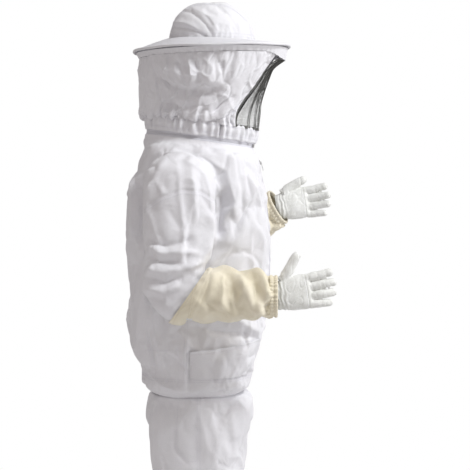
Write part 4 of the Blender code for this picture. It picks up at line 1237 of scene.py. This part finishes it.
def veilCloth():
    rows, columns = 84, 300
    keys = veilRows(lambda net: net, lambda net: 2 * pi - net, columns, 0.0050, 0.0080)
    piece = loft("veilCloth", through(keys, rows), closed=False, materials=[whiteCloth, sewingThread])
    points, normals = getPoints(piece), getNormals(piece)
    down = np.repeat(np.linspace(0, 1, rows), columns)
    across = np.tile(np.linspace(0, 1, columns), rows)
    amounts = foldPush(points, normals, sideSwags, [1, 2], (-1, 0, 0))
    amounts += foldPush(points, normals, sideSwags, [1, 2], (1, 0, 0))
    turn = across * 2 * pi
    gathers = np.sin(turn * 27 + 3 * np.sin(turn * 4)) * 0.6 + np.sin(turn * 17 + 2 * np.sin(turn * 7)) * 0.6
    amounts += gathers * (0.0075 * smooth((down - 0.58) / 0.30) + 0.0016 * smooth((0.16 - down) / 0.14))
    amounts += bumpy(points, (0.05, 0.05, 0.09), 6.0) * 0.007 * np.sin(pi * np.clip(down, 0, 1))
    amounts += 0.0060 * thinCreases(points, (0.05, 0.05, 0.08), 13.0) * smooth(down / 0.2)
    amounts -= 0.0045 * thinCreases(points, (0.035, 0.035, 0.07), 45.0) * smooth(down / 0.2)
    free = smooth(across / 0.03) * smooth((1 - across) / 0.03)
    push(piece, amounts * free)
    held = (down < 0.012) | (down > 0.988) | (across < 0.004) | (across > 0.996)
    settle(piece, held, 0.070, 0.6, 0.012, gravity=0.25)
    modify(piece, "SUBSURF", levels=1, render_levels=1)
    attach(piece, "hood")
    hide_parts("veil_fabric")


def veilNet():
    own = {"rows": int(0.185 / veil["netCell"]), "columns": int(0.285 / veil["netCell"])}
    keys = veilRows(lambda net: -net, lambda net: net, own["columns"], 0.0060, 0.0270)
    grid = through(keys, own["rows"])
    down = np.linspace(0, 1, own["rows"])[:, None]
    across = np.linspace(0, 1, own["columns"])[None, :]
    low = smooth((down - 0.45) / 0.5)
    pleats = 0.0042 * np.sin(across * 2 * pi * 7 + 0.7) * low * np.sin(pi * across) ** 0.5
    sway = 0.0030 * np.sin(across * 2 * pi * 2.3 + 1.0) * np.sin(pi * down)
    outward = grid - np.array((0, 0.02, 0))
    outward[:, :, 2] = 0
    outward /= np.linalg.norm(outward, axis=2)[:, :, None]
    grid = grid + outward * (pleats + sway)[:, :, None]
    piece = loft("veilNet", grid, closed=False, materials=[netStrand])
    modify(piece, "WIREFRAME", thickness=veil["strand"], use_even_offset=False, use_boundary=True,
           use_replace=True)
    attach(piece, "hood")
    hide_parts("veil_net")
    return grid


def tapeAlong(name, line, outward, width, wall, materials):
    # a folded tape along a line: a flat rounded section
    line, outward = np.array(line), np.array(outward)
    ahead = np.gradient(line, axis=0)
    rings = []
    for p, a, n in zip(line, ahead, outward):
        across = unit(np.cross(a, n))
        lift = unit(np.cross(across, a))
        rings.append([p + across * width / 2 * signedPower(cos(t), 0.6)
                      + lift * wall / 2 * signedPower(sin(t), 0.8) for t in fullTurn(14)])
    return loft(name, rings, closed=True, caps=True, materials=materials)


def netEdges(grid):
    outward = grid - np.array((0, 0.02, 0))
    outward[:, :, 2] = 0
    middle = grid.shape[1] // 2
    for side, column in ((1, 0), (-1, -1)):
        tape = tapeAlong("netBinding_" + sideNames[side], grid[:, column], outward[:, column], 0.0042, 0.0018,
                         [netTape])
        half = slice(0, middle + 1) if side > 0 else slice(middle, None)
        low = tapeAlong("low", grid[-2, half], outward[-2, half], 0.0080, 0.0022, [netTape])
        joined = joinPieces("netTape_" + sideNames[side], [tape, low], [netTape])
        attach(joined, "hood")
        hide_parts("net_binding_" + sideNames[side])


def topBand():
    # the gathered cloth that hangs from the brim to the veil
    turns = fullTurn(360)
    front = np.exp(-(np.minimum(turns, 2 * pi - turns) / 0.55) ** 4)
    ripple = 0.0012 * np.sin(turns * 61 + 2 * np.sin(turns * 9))
    rings = []
    for t in np.linspace(0, 1, 14):
        depth = (0.011 + 0.019 * front) * t
        radius = veil["topRadius"] + 0.0045 - 0.008 * t + ripple * t
        rings.append(hatRing(radius, -hat["brimDrop"] - 0.0035 - depth - 0.003 * t, turns))
    piece = loft("veilTopBand", rings, materials=[whiteCloth, sewingThread])
    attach(piece, "hood")
    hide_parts("veil_top_band")


def neckCasing():
    radius = neck["radius"]

    def at(out, height):
        return lambda turns: neckRing(radius + out, height, turns)

    rows = [(at(0.0030, 0.0062), 0.3), (at(0.0050, 0.0100), 0.5), (at(0.0060, 0.0205), 1.0),
            (at(0.0075, 0.0300), 1.2), (at(0.0065, 0.0400), 1.1), (at(0.0045, 0.0465), 0.9),
            (at(0.0020, 0.0500), 0.8)]
    piece = gatheredRing("neckCasing", rows, 46, 0.0044, [whiteCloth, sewingThread], 520, 8.0)
    points = getPoints(piece)
    push(piece, bumpy(points, (0.02, 0.02, 0.03), 2.0) * 0.0040)
    addStitches(piece, radialRuns(piece, [neckRing(0.16, h, np.linspace(0, 2 * pi, 520))[:, 2]
                                          for h in (0.0180, 0.0410)], (0, 0, 0)))
    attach(piece, "hood")
    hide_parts("neck_casing")


veilCloth()
netGrid = veilNet()
netEdges(netGrid)
topBand()
neckCasing()
print("hood made")


# gloves: a cream canvas gauntlet, its wristband and a leather hand

gauntletShape = {"halfWidth": 0.066, "halfHeight": 0.071, "wristHigh": 0.053, "wristWide": 0.042, "rows": 84}


canvasFolds = [   # lines of (ahead, up) on both flanks
    ([(0.148, 0.062), (0.152, 0.030), (0.142, -0.010), (0.150, -0.045)], 0.0065, -0.0085),
    ([(0.128, 0.060), (0.130, 0.020), (0.118, -0.030)], 0.0085, 0.0080),
    ([(0.172, 0.058), (0.176, 0.010), (0.166, -0.030)], 0.0085, 0.0080),
    ([(0.100, 0.060), (0.088, 0.020), (0.070, -0.020)], 0.0060, -0.0060),
    ([(0.080, -0.010), (0.110, -0.035), (0.150, -0.050)], 0.0065, -0.0060),
    ([(0.210, 0.045), (0.214, 0.000), (0.206, -0.040)], 0.0060, -0.0060),
]


def canvasSleeve(arm):
    own = gauntletShape
    count = 120
    high, wide = own["halfHeight"], own["halfWidth"]
    keys = [arm.ring(arm.mouth + 0.030, high - 0.004, wide - 0.004, arm.slant, count),
            arm.ring(arm.mouth + 0.002, high - 0.003, wide - 0.003, arm.slant, count),
            arm.ring(arm.mouth, high, wide, arm.slant, count),
            arm.ring(arm.share(0.14), high + 0.001, wide + 0.001, arm.slant * 0.7, count),
            arm.ring(arm.share(0.32), high - 0.001, wide, arm.slant * 0.35, count),
            arm.ring(arm.share(0.54), high - 0.007, wide - 0.005, 0, count),
            arm.ring(arm.share(0.76), own["wristHigh"] + 0.009, own["wristWide"] + 0.011, 0, count),
            arm.ring(wristAhead - 0.022, own["wristHigh"] + 0.001, own["wristWide"] + 0.001, 0, count),
            arm.ring(wristAhead - 0.014, own["wristHigh"] - 0.003, own["wristWide"] - 0.003, 0, count)]
    rows = own["rows"]
    piece = loft("gauntlet_" + arm.name, through(keys, rows), materials=[creamCanvas, creamThread])
    points = getPoints(piece)
    down = np.repeat(np.linspace(0, 1, rows), count)
    turn = np.tile(fullTurn(count), rows)
    ahead = (points - arm.elbow) @ arm.forward
    body = smooth((down - 0.27) / 0.1)
    # slanting drag folds, deeper towards the wrist, and gathers at the strap
    spiral = np.sin(turn * 2 + ahead * 60 + 2.2 * np.sin(turn + ahead * 22))
    amounts = 0.0060 * spiral * body * (0.5 + 0.5 * smooth((down - 0.4) / 0.4))
    amounts += 0.0034 * np.sin(ahead * 120 + 2.5 * np.sin(turn * 2 + 1)) * body * smooth((down - 0.5) / 0.3)
    amounts += 0.0022 * np.sin(turn * 22 + 3 * np.sin(turn * 3)) * smooth((down - 0.84) / 0.13)
    amounts += bumpy(points, (0.035, 0.035, 0.035), 4.0 + arm.side) * 0.0075 * body
    axes = np.stack([arm.forward, arm.up, arm.out], 1)      # ahead, up and sideways
    local, turned = (points - arm.elbow) @ axes, getNormals(piece) @ axes
    for side in (-1, 1):
        amounts += foldPush(local, turned, canvasFolds, [0, 1], (0, 0, side))
    amounts -= 0.0016 * np.exp(-((down - 0.375) / 0.012) ** 2)
    push(piece, amounts)
    settle(piece, (down < 0.27) | (down > 0.985), 0.080, 0.6, 0.009, 14)
    tree = surfaceOf(piece)
    runs = []
    for behind in (0.010, 0.016):
        ring = arm.ring(arm.mouth + behind, 0.25, 0.25, arm.slant * 71 / 250, 200)
        centre = arm.elbow + arm.forward * (arm.mouth + behind)
        found = layOn(tree, list(ring), [centre - p for p in ring])
        runs.append(found + found[:1])
    below = [arm.elbow + arm.forward * a - arm.up * 0.3 for a in np.linspace(arm.share(0.02), 0.245, 60)]
    runs.append(layOn(tree, below, [arm.up] * 60))
    addStitches(piece, runs)
    modify(piece, "SUBSURF", levels=1, render_levels=1)
    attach(piece, "gauntlet_" + arm.name)
    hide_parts("gauntlet_" + arm.name)


def wristBand(arm):
    own = gauntletShape
    count = 160
    turns = fullTurn(count)
    gathers = 0.0012 * np.sin(turns * 30 + 2 * np.sin(turns * 5))
    rings = []
    profile = ((-0.019, -0.0030), (-0.0195, 0.0010), (-0.0165, 0.0024), (-0.0120, 0.0016), (-0.0085, -0.0006),
               (-0.0050, 0.0014), (-0.0015, 0.0022), (0.0015, 0.0008), (0.0018, -0.0022), (-0.006, -0.0045))
    for ahead, out in through(profile, 34):
        ring = arm.ring(wristAhead + ahead, own["wristHigh"] + out, own["wristWide"] + out, 0, count)
        centre = ring.mean(0)
        away = (ring - centre) / np.linalg.norm(ring - centre, axis=1)[:, None]
        rings.append(ring + away * gathers[:, None])
    piece = loft("gauntletWristband_" + arm.name, rings, materials=[creamCanvas, creamThread])
    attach(piece, "gauntlet_" + arm.name)
    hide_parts("gauntlet_wristband_" + arm.name)


handShape = {
    "palm": 0.076, "halfWidth": 0.046, "halfDepth": 0.0215, "finger": 0.084, "fingerRadius": 0.0121,
    # length, thickness and curl of index, middle, ring and little finger
    "fingers": ((0.92, 1.0, 0.10), (1.0, 1.0, 0.16), (0.94, 0.97, 0.20), (0.76, 0.90, 0.24)),
}


def tube(line, radii, count=14):
    # a closed round tube along a line, domed at its end
    line = np.array(line, float)
    ahead = np.gradient(line, axis=0)
    side = unit(np.cross(ahead[0], (0.31, 0.2, 0.92)))
    rings = []
    for p, a, radius in zip(line, ahead, radii):
        a = unit(a)
        one = unit(side - a * (side @ a))
        two = np.cross(a, one)
        rings.append([p + (one * cos(t) + two * sin(t)) * radius for t in fullTurn(count)])
    return loft("tube", rings, caps=True)


def leatherHand(arm):
    own = handShape
    wrist, ahead = arm.wrist, arm.hand
    thumb = unit(np.array((0, 0, 1)) - ahead * ahead[2])
    out = unit(np.cross(ahead, thumb))
    palmWay = out if (out[0] > 0) == (arm.side < 0) else -out      # towards the palm

    def ring(far, high, deep, lift=0.0, shift=0.0, count=36):
        centre = wrist + ahead * far + thumb * lift + palmWay * shift
        return ovalRing(centre - thumb * high, centre + thumb * high, deep, out, count, 0.88)

    palm = [ring(-0.006, 0.035, 0.025), ring(0.008, 0.0375, 0.0265), ring(0.034, 0.0440, 0.0245),
            ring(0.055, own["halfWidth"], own["halfDepth"]), ring(0.072, own["halfWidth"], 0.0185),
            ring(0.086, own["halfWidth"] - 0.002, 0.0145), ring(0.092, own["halfWidth"] - 0.006, 0.009)]
    parts = [loft("palm", through(palm, 26), caps=True)]
    pitch = (own["halfWidth"] - own["fingerRadius"]) * 2 / 3
    for number, (length, width, curl) in enumerate(own["fingers"]):
        lift = own["halfWidth"] - own["fingerRadius"] - number * pitch
        way = unit(ahead + thumb * (0.04 - 0.045 * number))
        reach = own["finger"] * length
        base = wrist + ahead * 0.060 + thumb * lift
        line, radii = [], []
        for t in np.linspace(0, 1, 22):
            far = (0.020 + reach) * t
            bend = curl * max(0.0, far - 0.030) ** 2 / 0.060
            line.append(base + way * far + palmWay * bend)
            joint = 1 + 0.03 * np.exp(-((t - 0.50) / 0.08) ** 2) + 0.02 * np.exp(-((t - 0.74) / 0.06) ** 2)
            dome = sqrt(max(0.02, 1 - max(0.0, (t - 0.90) / 0.10) ** 2))
            radii.append(own["fingerRadius"] * width * joint * dome * (1.0 - 0.06 * t))
        parts.append(tube(line, radii))
    thumbWay = unit(ahead * 0.60 + thumb * 0.80) if arm.side < 0 else unit(ahead * 0.93 + thumb * 0.36)
    base = wrist + ahead * 0.022 + thumb * 0.036 + palmWay * 0.004
    rise = own["halfWidth"] + (0.010 if arm.side < 0 else 0.003)
    bent = wrist + ahead * 0.038 + thumb * rise + palmWay * 0.003
    line = through([base, bent, bent + thumbWay * 0.030, bent + thumbWay * 0.060 + ahead * 0.004], 20)
    radii = [0.0165 - 0.0035 * t for t in np.linspace(0, 1, 17)] + [0.0118, 0.0092, 0.0040]
    parts.append(tube(line, radii))
    piece = joinPieces("gloveHand_" + arm.name, parts, [])
    modify(piece, "REMESH", mode="VOXEL", voxel_size=0.0018)
    modify(piece, "SMOOTH", factor=0.5, iterations=5)
    points = getPoints(piece)
    far = (points - wrist) @ ahead
    high = (points - wrist) @ thumb
    creases = np.abs(bumpy(points, (0.030, 0.018, 0.034), 3.0 + arm.side))
    amounts = -0.0008 * np.exp(-(creases / 0.07) ** 2) + bumpy(points, (0.022, 0.022, 0.022), 8.0) * 0.0016
    amounts += 0.0013 * np.sin(far * 2 * pi / 0.011 + bumpy(points, (0.02, 0.02, 0.02), 1.0) * 3) * (
        np.exp(-((far - 0.012) / 0.014) ** 2))
    for knuckle in (0.100, 0.126, 0.146):       # creases where the fingers bend
        amounts -= 0.0005 * np.exp(-((far - knuckle + high * 0.25) / 0.0022) ** 2)
    rootLine = 0.082 - 0.10 * np.abs(high - 0.004) ** 1.3
    amounts -= 0.0016 * np.exp(-((far - rootLine) / 0.0020) ** 2)      # the seam along the finger roots
    push(piece, amounts)
    piece.data.materials.append(gloveLeather)
    piece.data.materials.append(sewingThread)
    tree = surfaceOf(piece)
    runs = []
    for face in (1, -1):
        levels = np.linspace(-0.040, 0.042, 60)
        starts = [wrist + ahead * (0.079 - 0.10 * abs(h - 0.004) ** 1.3) + thumb * h + out * 0.2 * face
                  for h in levels]
        runs.append(layOn(tree, starts, [-out * face] * 60))
    addStitches(piece, runs)
    start, end = wrist + ahead * 0.070, wrist + ahead * 0.094
    tuple(start)
    tuple(end)
    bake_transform(piece)
    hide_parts("glove_palm_" + arm.name, "glove_thumb_" + arm.name, "glove_fingers_" + arm.name)


def sleeveCuff(arm):
    # the gathered cuff of the jacket's sleeve, inside the gauntlet
    count = 150
    turns = fullTurn(count)
    gathers = 0.0014 * np.sin(turns * 28 + 2 * np.sin(turns * 4))
    rings = []
    profile = ((0.054, 0.0400), (0.050, 0.0405), (0.040, 0.0395), (0.030, 0.0375), (0.026, 0.0355),
               (0.030, 0.0345), (0.044, 0.0360))
    for back, size in through(profile, 30):
        ring = arm.ring(wristAhead - back, size, size, 0, count)
        away = (ring - ring.mean(0)) / size
        rings.append(ring + away * gathers[:, None])
    piece = loft("sleeveCuff_" + arm.name, rings, materials=[whiteCloth, sewingThread])
    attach(piece, "forearm_" + arm.name)
    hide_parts("sleeve_cuff_" + arm.name)


for arm in arms.values():
    canvasSleeve(arm)
    wristBand(arm)
    leatherHand(arm)
    sleeveCuff(arm)
print("gloves made")


# trousers

trousers = {
    "knee": -1.000, "legX": 0.0925, "voxel": 0.0076,
    "hipSplit": -0.786, "kneeSplit": -0.9365,
    # height, half width, half depth, y of each level of the seat
    "seat": [(-0.500, 0.160, 0.114, 0.0), (-0.520, 0.156, 0.114, 0.0), (-0.555, 0.126, 0.094, 0.008),
             (-0.640, 0.124, 0.094, 0.008), (-0.698, 0.126, 0.096, 0.008), (-0.7115, 0.158, 0.128, 0.002),
             (-0.722, 0.170, 0.137, 0.000), (-0.778, 0.181, 0.139, 0.0), (-0.800, 0.1795, 0.132, 0.0)],
    # height, half width, half depth of each level of a leg
    "leg": [(-0.740, 0.080, 0.118), (-0.790, 0.0865, 0.131), (-0.860, 0.0870, 0.127), (-0.935, 0.0855, 0.120),
            (-1.000, 0.0840, 0.117), (-1.065, 0.0820, 0.112), (-1.200, 0.0775, 0.100),
            (-1.300, 0.0735, 0.088),
            (-1.345, 0.0660, 0.070), (-1.358, 0.0610, 0.0615)],
}
trouserFolds = [
    # the edge of the pocket bag
    ([(0.060, -0.735), (0.066, -0.850), (0.030, -0.886), (0.014, -0.880)], 0.0045, -0.0022),
    ([(-0.030, -0.730), (-0.045, -0.840), (-0.038, -0.935)], 0.014, 0.0050),
    ([(-0.085, -0.735), (-0.090, -0.840)], 0.014, 0.0060),
    ([(0.096, -0.735), (0.100, -0.860), (0.090, -0.960)], 0.013, 0.0050),
    ([(-0.070, -1.080), (-0.030, -1.180), (-0.040, -1.280)], 0.015, 0.0050),
    ([(0.060, -1.070), (0.030, -1.170), (0.045, -1.300)], 0.015, 0.0050),
    ([(-0.020, -1.290), (0.040, -1.310)], 0.012, 0.0050),
    ([(-0.060, -1.255), (0.030, -1.262)], 0.010, -0.0040),
]


def levelRing(z, x, halfWidth, halfDepth, y=0.0, count=72, power=0.9):
    return ovalRing((x - halfWidth, y, z), (x + halfWidth, y, z), halfDepth, (0, 1, 0), count, power)


def trouserShape():
    own = trousers
    seat = [levelRing(z, 0, w, d, y, 96) for z, w, d, y in own["seat"]]
    parts = [loft("seat", through(seat, 60), caps=True)]
    for side in (-1, 1):
        rows = [levelRing(z, side * own["legX"], w, d) for z, w, d in own["leg"]]
        parts.append(loft("leg", through(rows, 90), caps=True))
    piece = joinPieces("trousers", parts, [])
    modify(piece, "REMESH", mode="VOXEL", voxel_size=own["voxel"])
    modify(piece, "SMOOTH", factor=0.5, iterations=6)
    points, normals = getPoints(piece), getNormals(piece)
    low = smooth((-0.716 - points[:, 2]) / 0.02) * smooth((points[:, 2] + 1.345) / 0.03)
    amounts = np.zeros(len(points))
    for side in (-1, 1):
        amounts += foldPush(points, normals, trouserFolds, [1, 2], (side, 0, 0), 1.5)
        knee = (side * own["legX"], 0.030, own["knee"])
        amounts += bendCreases(points, normals, knee, (0, 0, -1), (0, 1, 0), 0.06, 0.0045, 0.034)
        foot = (side * own["legX"], 0.0, -1.335)
        amounts += bendCreases(points, normals, foot, (0, 0.15, -1), (0, -1, 0), 0.045, 0.0050, 0.030)
    amounts += bumpy(points, (0.05, 0.05, 0.16), 5.0) * 0.0080 + bumpy(
        points, (0.03, 0.03, 0.07), 2.0) * 0.0028
    amounts += 0.0060 * thinCreases(points, (0.06, 0.06, 0.19), 17.0) - 0.0040 * thinCreases(
        points, (0.07, 0.05, 0.12), 38.0)
    push(piece, amounts * low)
    points = getPoints(piece)
    settle(piece, (points[:, 2] > -0.718) | (points[:, 2] < -1.345), 0.050, 0.8, 0.012)
    modify(piece, "SUBSURF", levels=1, render_levels=1)
    return piece


def splitTrousers(whole):
    own = trousers
    seat = copyPiece(whole, "trouserSeat")
    cutAway(seat, (0, 0, own["hipSplit"]), (0, 0, -1))
    cutAway(seat, (0, 0, -0.5015), (0, 0, 1))
    legs = {}
    for side in (-1, 1):
        upper = copyPiece(whole, "trouserThigh_" + sideNames[side])
        cutAway(upper, (0, 0, own["hipSplit"]), (0, 0, 1))
        cutAway(upper, (0, 0, own["kneeSplit"]), (0, 0, -1))
        cutAway(upper, (0, 0, 0), (-side, 0, 0))
        lower = copyPiece(whole, "trouserShin_" + sideNames[side])
        cutAway(lower, (0, 0, own["kneeSplit"]), (0, 0, 1))
        cutAway(lower, (0, 0, -1.354), (0, 0, -1))
        cutAway(lower, (0, 0, 0), (-side, 0, 0))
        legs[side] = upper, lower
    bpy.data.objects.remove(whole)
    for piece in [seat, *legs[-1], *legs[1]]:
        piece.data.materials.append(whiteCloth)
        piece.data.materials.append(sewingThread)
    return seat, legs


def sewSide(piece, side, top, low):
    tree = surfaceOf(piece)
    runs = [sideLine(tree, [(y, top - 0.002), (y, low + 0.002)], side) for y in (-0.004, 0.004)]
    if top > -0.80:
        pocketEdge = [(0.056, -0.724), (0.062, -0.850), (0.028, -0.882), (0.006, -0.880)]
        runs.append(sideLine(tree, pocketEdge, side))
    addStitches(piece, runs)


def dressTrousers():
    own = trousers
    seat, legs = splitTrousers(trouserShape())
    for side in (-1, 1):
        sewSide(seat, side, -0.505, own["hipSplit"])
    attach(seat, "trousers")
    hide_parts("trouser_seat")
    for side in (-1, 1):
        name = sideNames[side]
        upper, lower = legs[side]
        sewSide(upper, side, own["hipSplit"], own["kneeSplit"])
        sewSide(lower, side, own["kneeSplit"], -1.352)
        x = side * own["legX"]
        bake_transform(upper)
        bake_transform(lower)
        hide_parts("hip_gusset_" + name, "thigh_" + name)
        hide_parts("knee_gusset_" + name, "shin_" + name)

        def at(z, size):
            return lambda turns: levelRing(z, x, size, size, 0, len(turns))

        rows = [(at(-1.350, 0.0600), 0.3), (at(-1.357, 0.0605), 0.8), (at(-1.368, 0.0590), 1.0),
                (at(-1.379, 0.0575), 1.0), (at(-1.384, 0.0550), 1.0), (at(-1.378, 0.0535), 0.8),
                (at(-1.362, 0.0545), 0.5)]
        cuff = gatheredRing("ankleCuff_" + name, rows, 34, 0.0016, [whiteCloth, sewingThread], 220, 3.0)
        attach(cuff, "shin_" + name)
        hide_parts("ankle_cuff_" + name)

    def waist(z, inset):
        return lambda turns: levelRing(z, 0, 0.160 - inset, 0.115 - inset, 0, len(turns))

    rows = [(waist(-0.503, 0.001), 0.4), (waist(-0.499, -0.001), 0.9), (waist(-0.482, 0.001), 1.0),
            (waist(-0.466, 0.005), 1.0), (waist(-0.461, 0.008), 1.0), (waist(-0.468, 0.010), 0.8),
            (waist(-0.490, 0.009), 0.5)]
    band = gatheredRing("waistbandCasing", rows, 62, 0.0020, [whiteCloth, sewingThread], 420, 6.0)
    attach(band, "trousers")
    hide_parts("waistband_casing")


dressTrousers()
print("trousers made")


# floor, light and camera

def studio():
    scene = bpy.context.scene
    bpy.ops.mesh.primitive_circle_add(vertices=96, radius=2.1, fill_type="NGON", location=(0, 0, -1.425))
    floor = bpy.context.object
    floor.name = "floor"
    pale = plainFinish("paleFloor", (0.80, 0.80, 0.80), (0.76, 0.76, 0.76), 0.7, 0.0, 3.0, 0.0002)
    floor.data.materials.append(pale)
    world = bpy.data.worlds.new("studio")
    scene.world = world
    world.use_nodes = True
    tree = world.node_tree
    tree.nodes.clear()
    seen = addNode(tree, "Background", Color=(1, 1, 1, 1), Strength=1.0)
    fill = addNode(tree, "Background", Color=(1.0, 0.955, 0.945, 1), Strength=0.43)
    mixed = addNode(tree, "MixShader")
    tree.links.new(addNode(tree, "LightPath").outputs["Is Camera Ray"], mixed.inputs[0])
    tree.links.new(fill.outputs[0], mixed.inputs[1])
    tree.links.new(seen.outputs[0], mixed.inputs[2])
    tree.links.new(mixed.outputs[0], addNode(tree, "OutputWorld").inputs[0])
    for name, place, size, power, colour in (
            ("keyLight", (-1.5, -2.2, 2.6), 0.8, 98, (0.97, 0.985, 1.0)),
            ("frontLight", (-0.4, -3.4, 0.2), 1.0, 34, (0.98, 0.98, 1.0)),
            ("backFill", (-2.6, 2.2, -0.2), 1.6, 6, (1.0, 0.86, 0.80))):
        lamp = bpy.data.lights.new(name, "AREA")
        lamp.shape = "DISK"
        lamp.size, lamp.energy, lamp.color = size, power, colour
        holder = bpy.data.objects.new(name, lamp)
        scene.collection.objects.link(holder)
        holder.location = place
        aim = Vector((0, -0.05, -0.25)) - Vector(place)
        holder.rotation_euler = aim.to_track_quat("-Z", "Y").to_euler()
    scene.view_settings.view_transform = "Standard"
    view = bpy.data.cameras.new("view")
    view.sensor_width, view.lens = 36.0, 123.1
    camera = bpy.data.objects.new("view", view)
    scene.collection.objects.link(camera)
    camera.location = (-4.5, -0.098, -0.100)
    aim = Vector((0, -0.098, -0.277)) - camera.location
    camera.rotation_euler = aim.to_track_quat("-Z", "Y").to_euler()
    scene.camera = camera


studio()
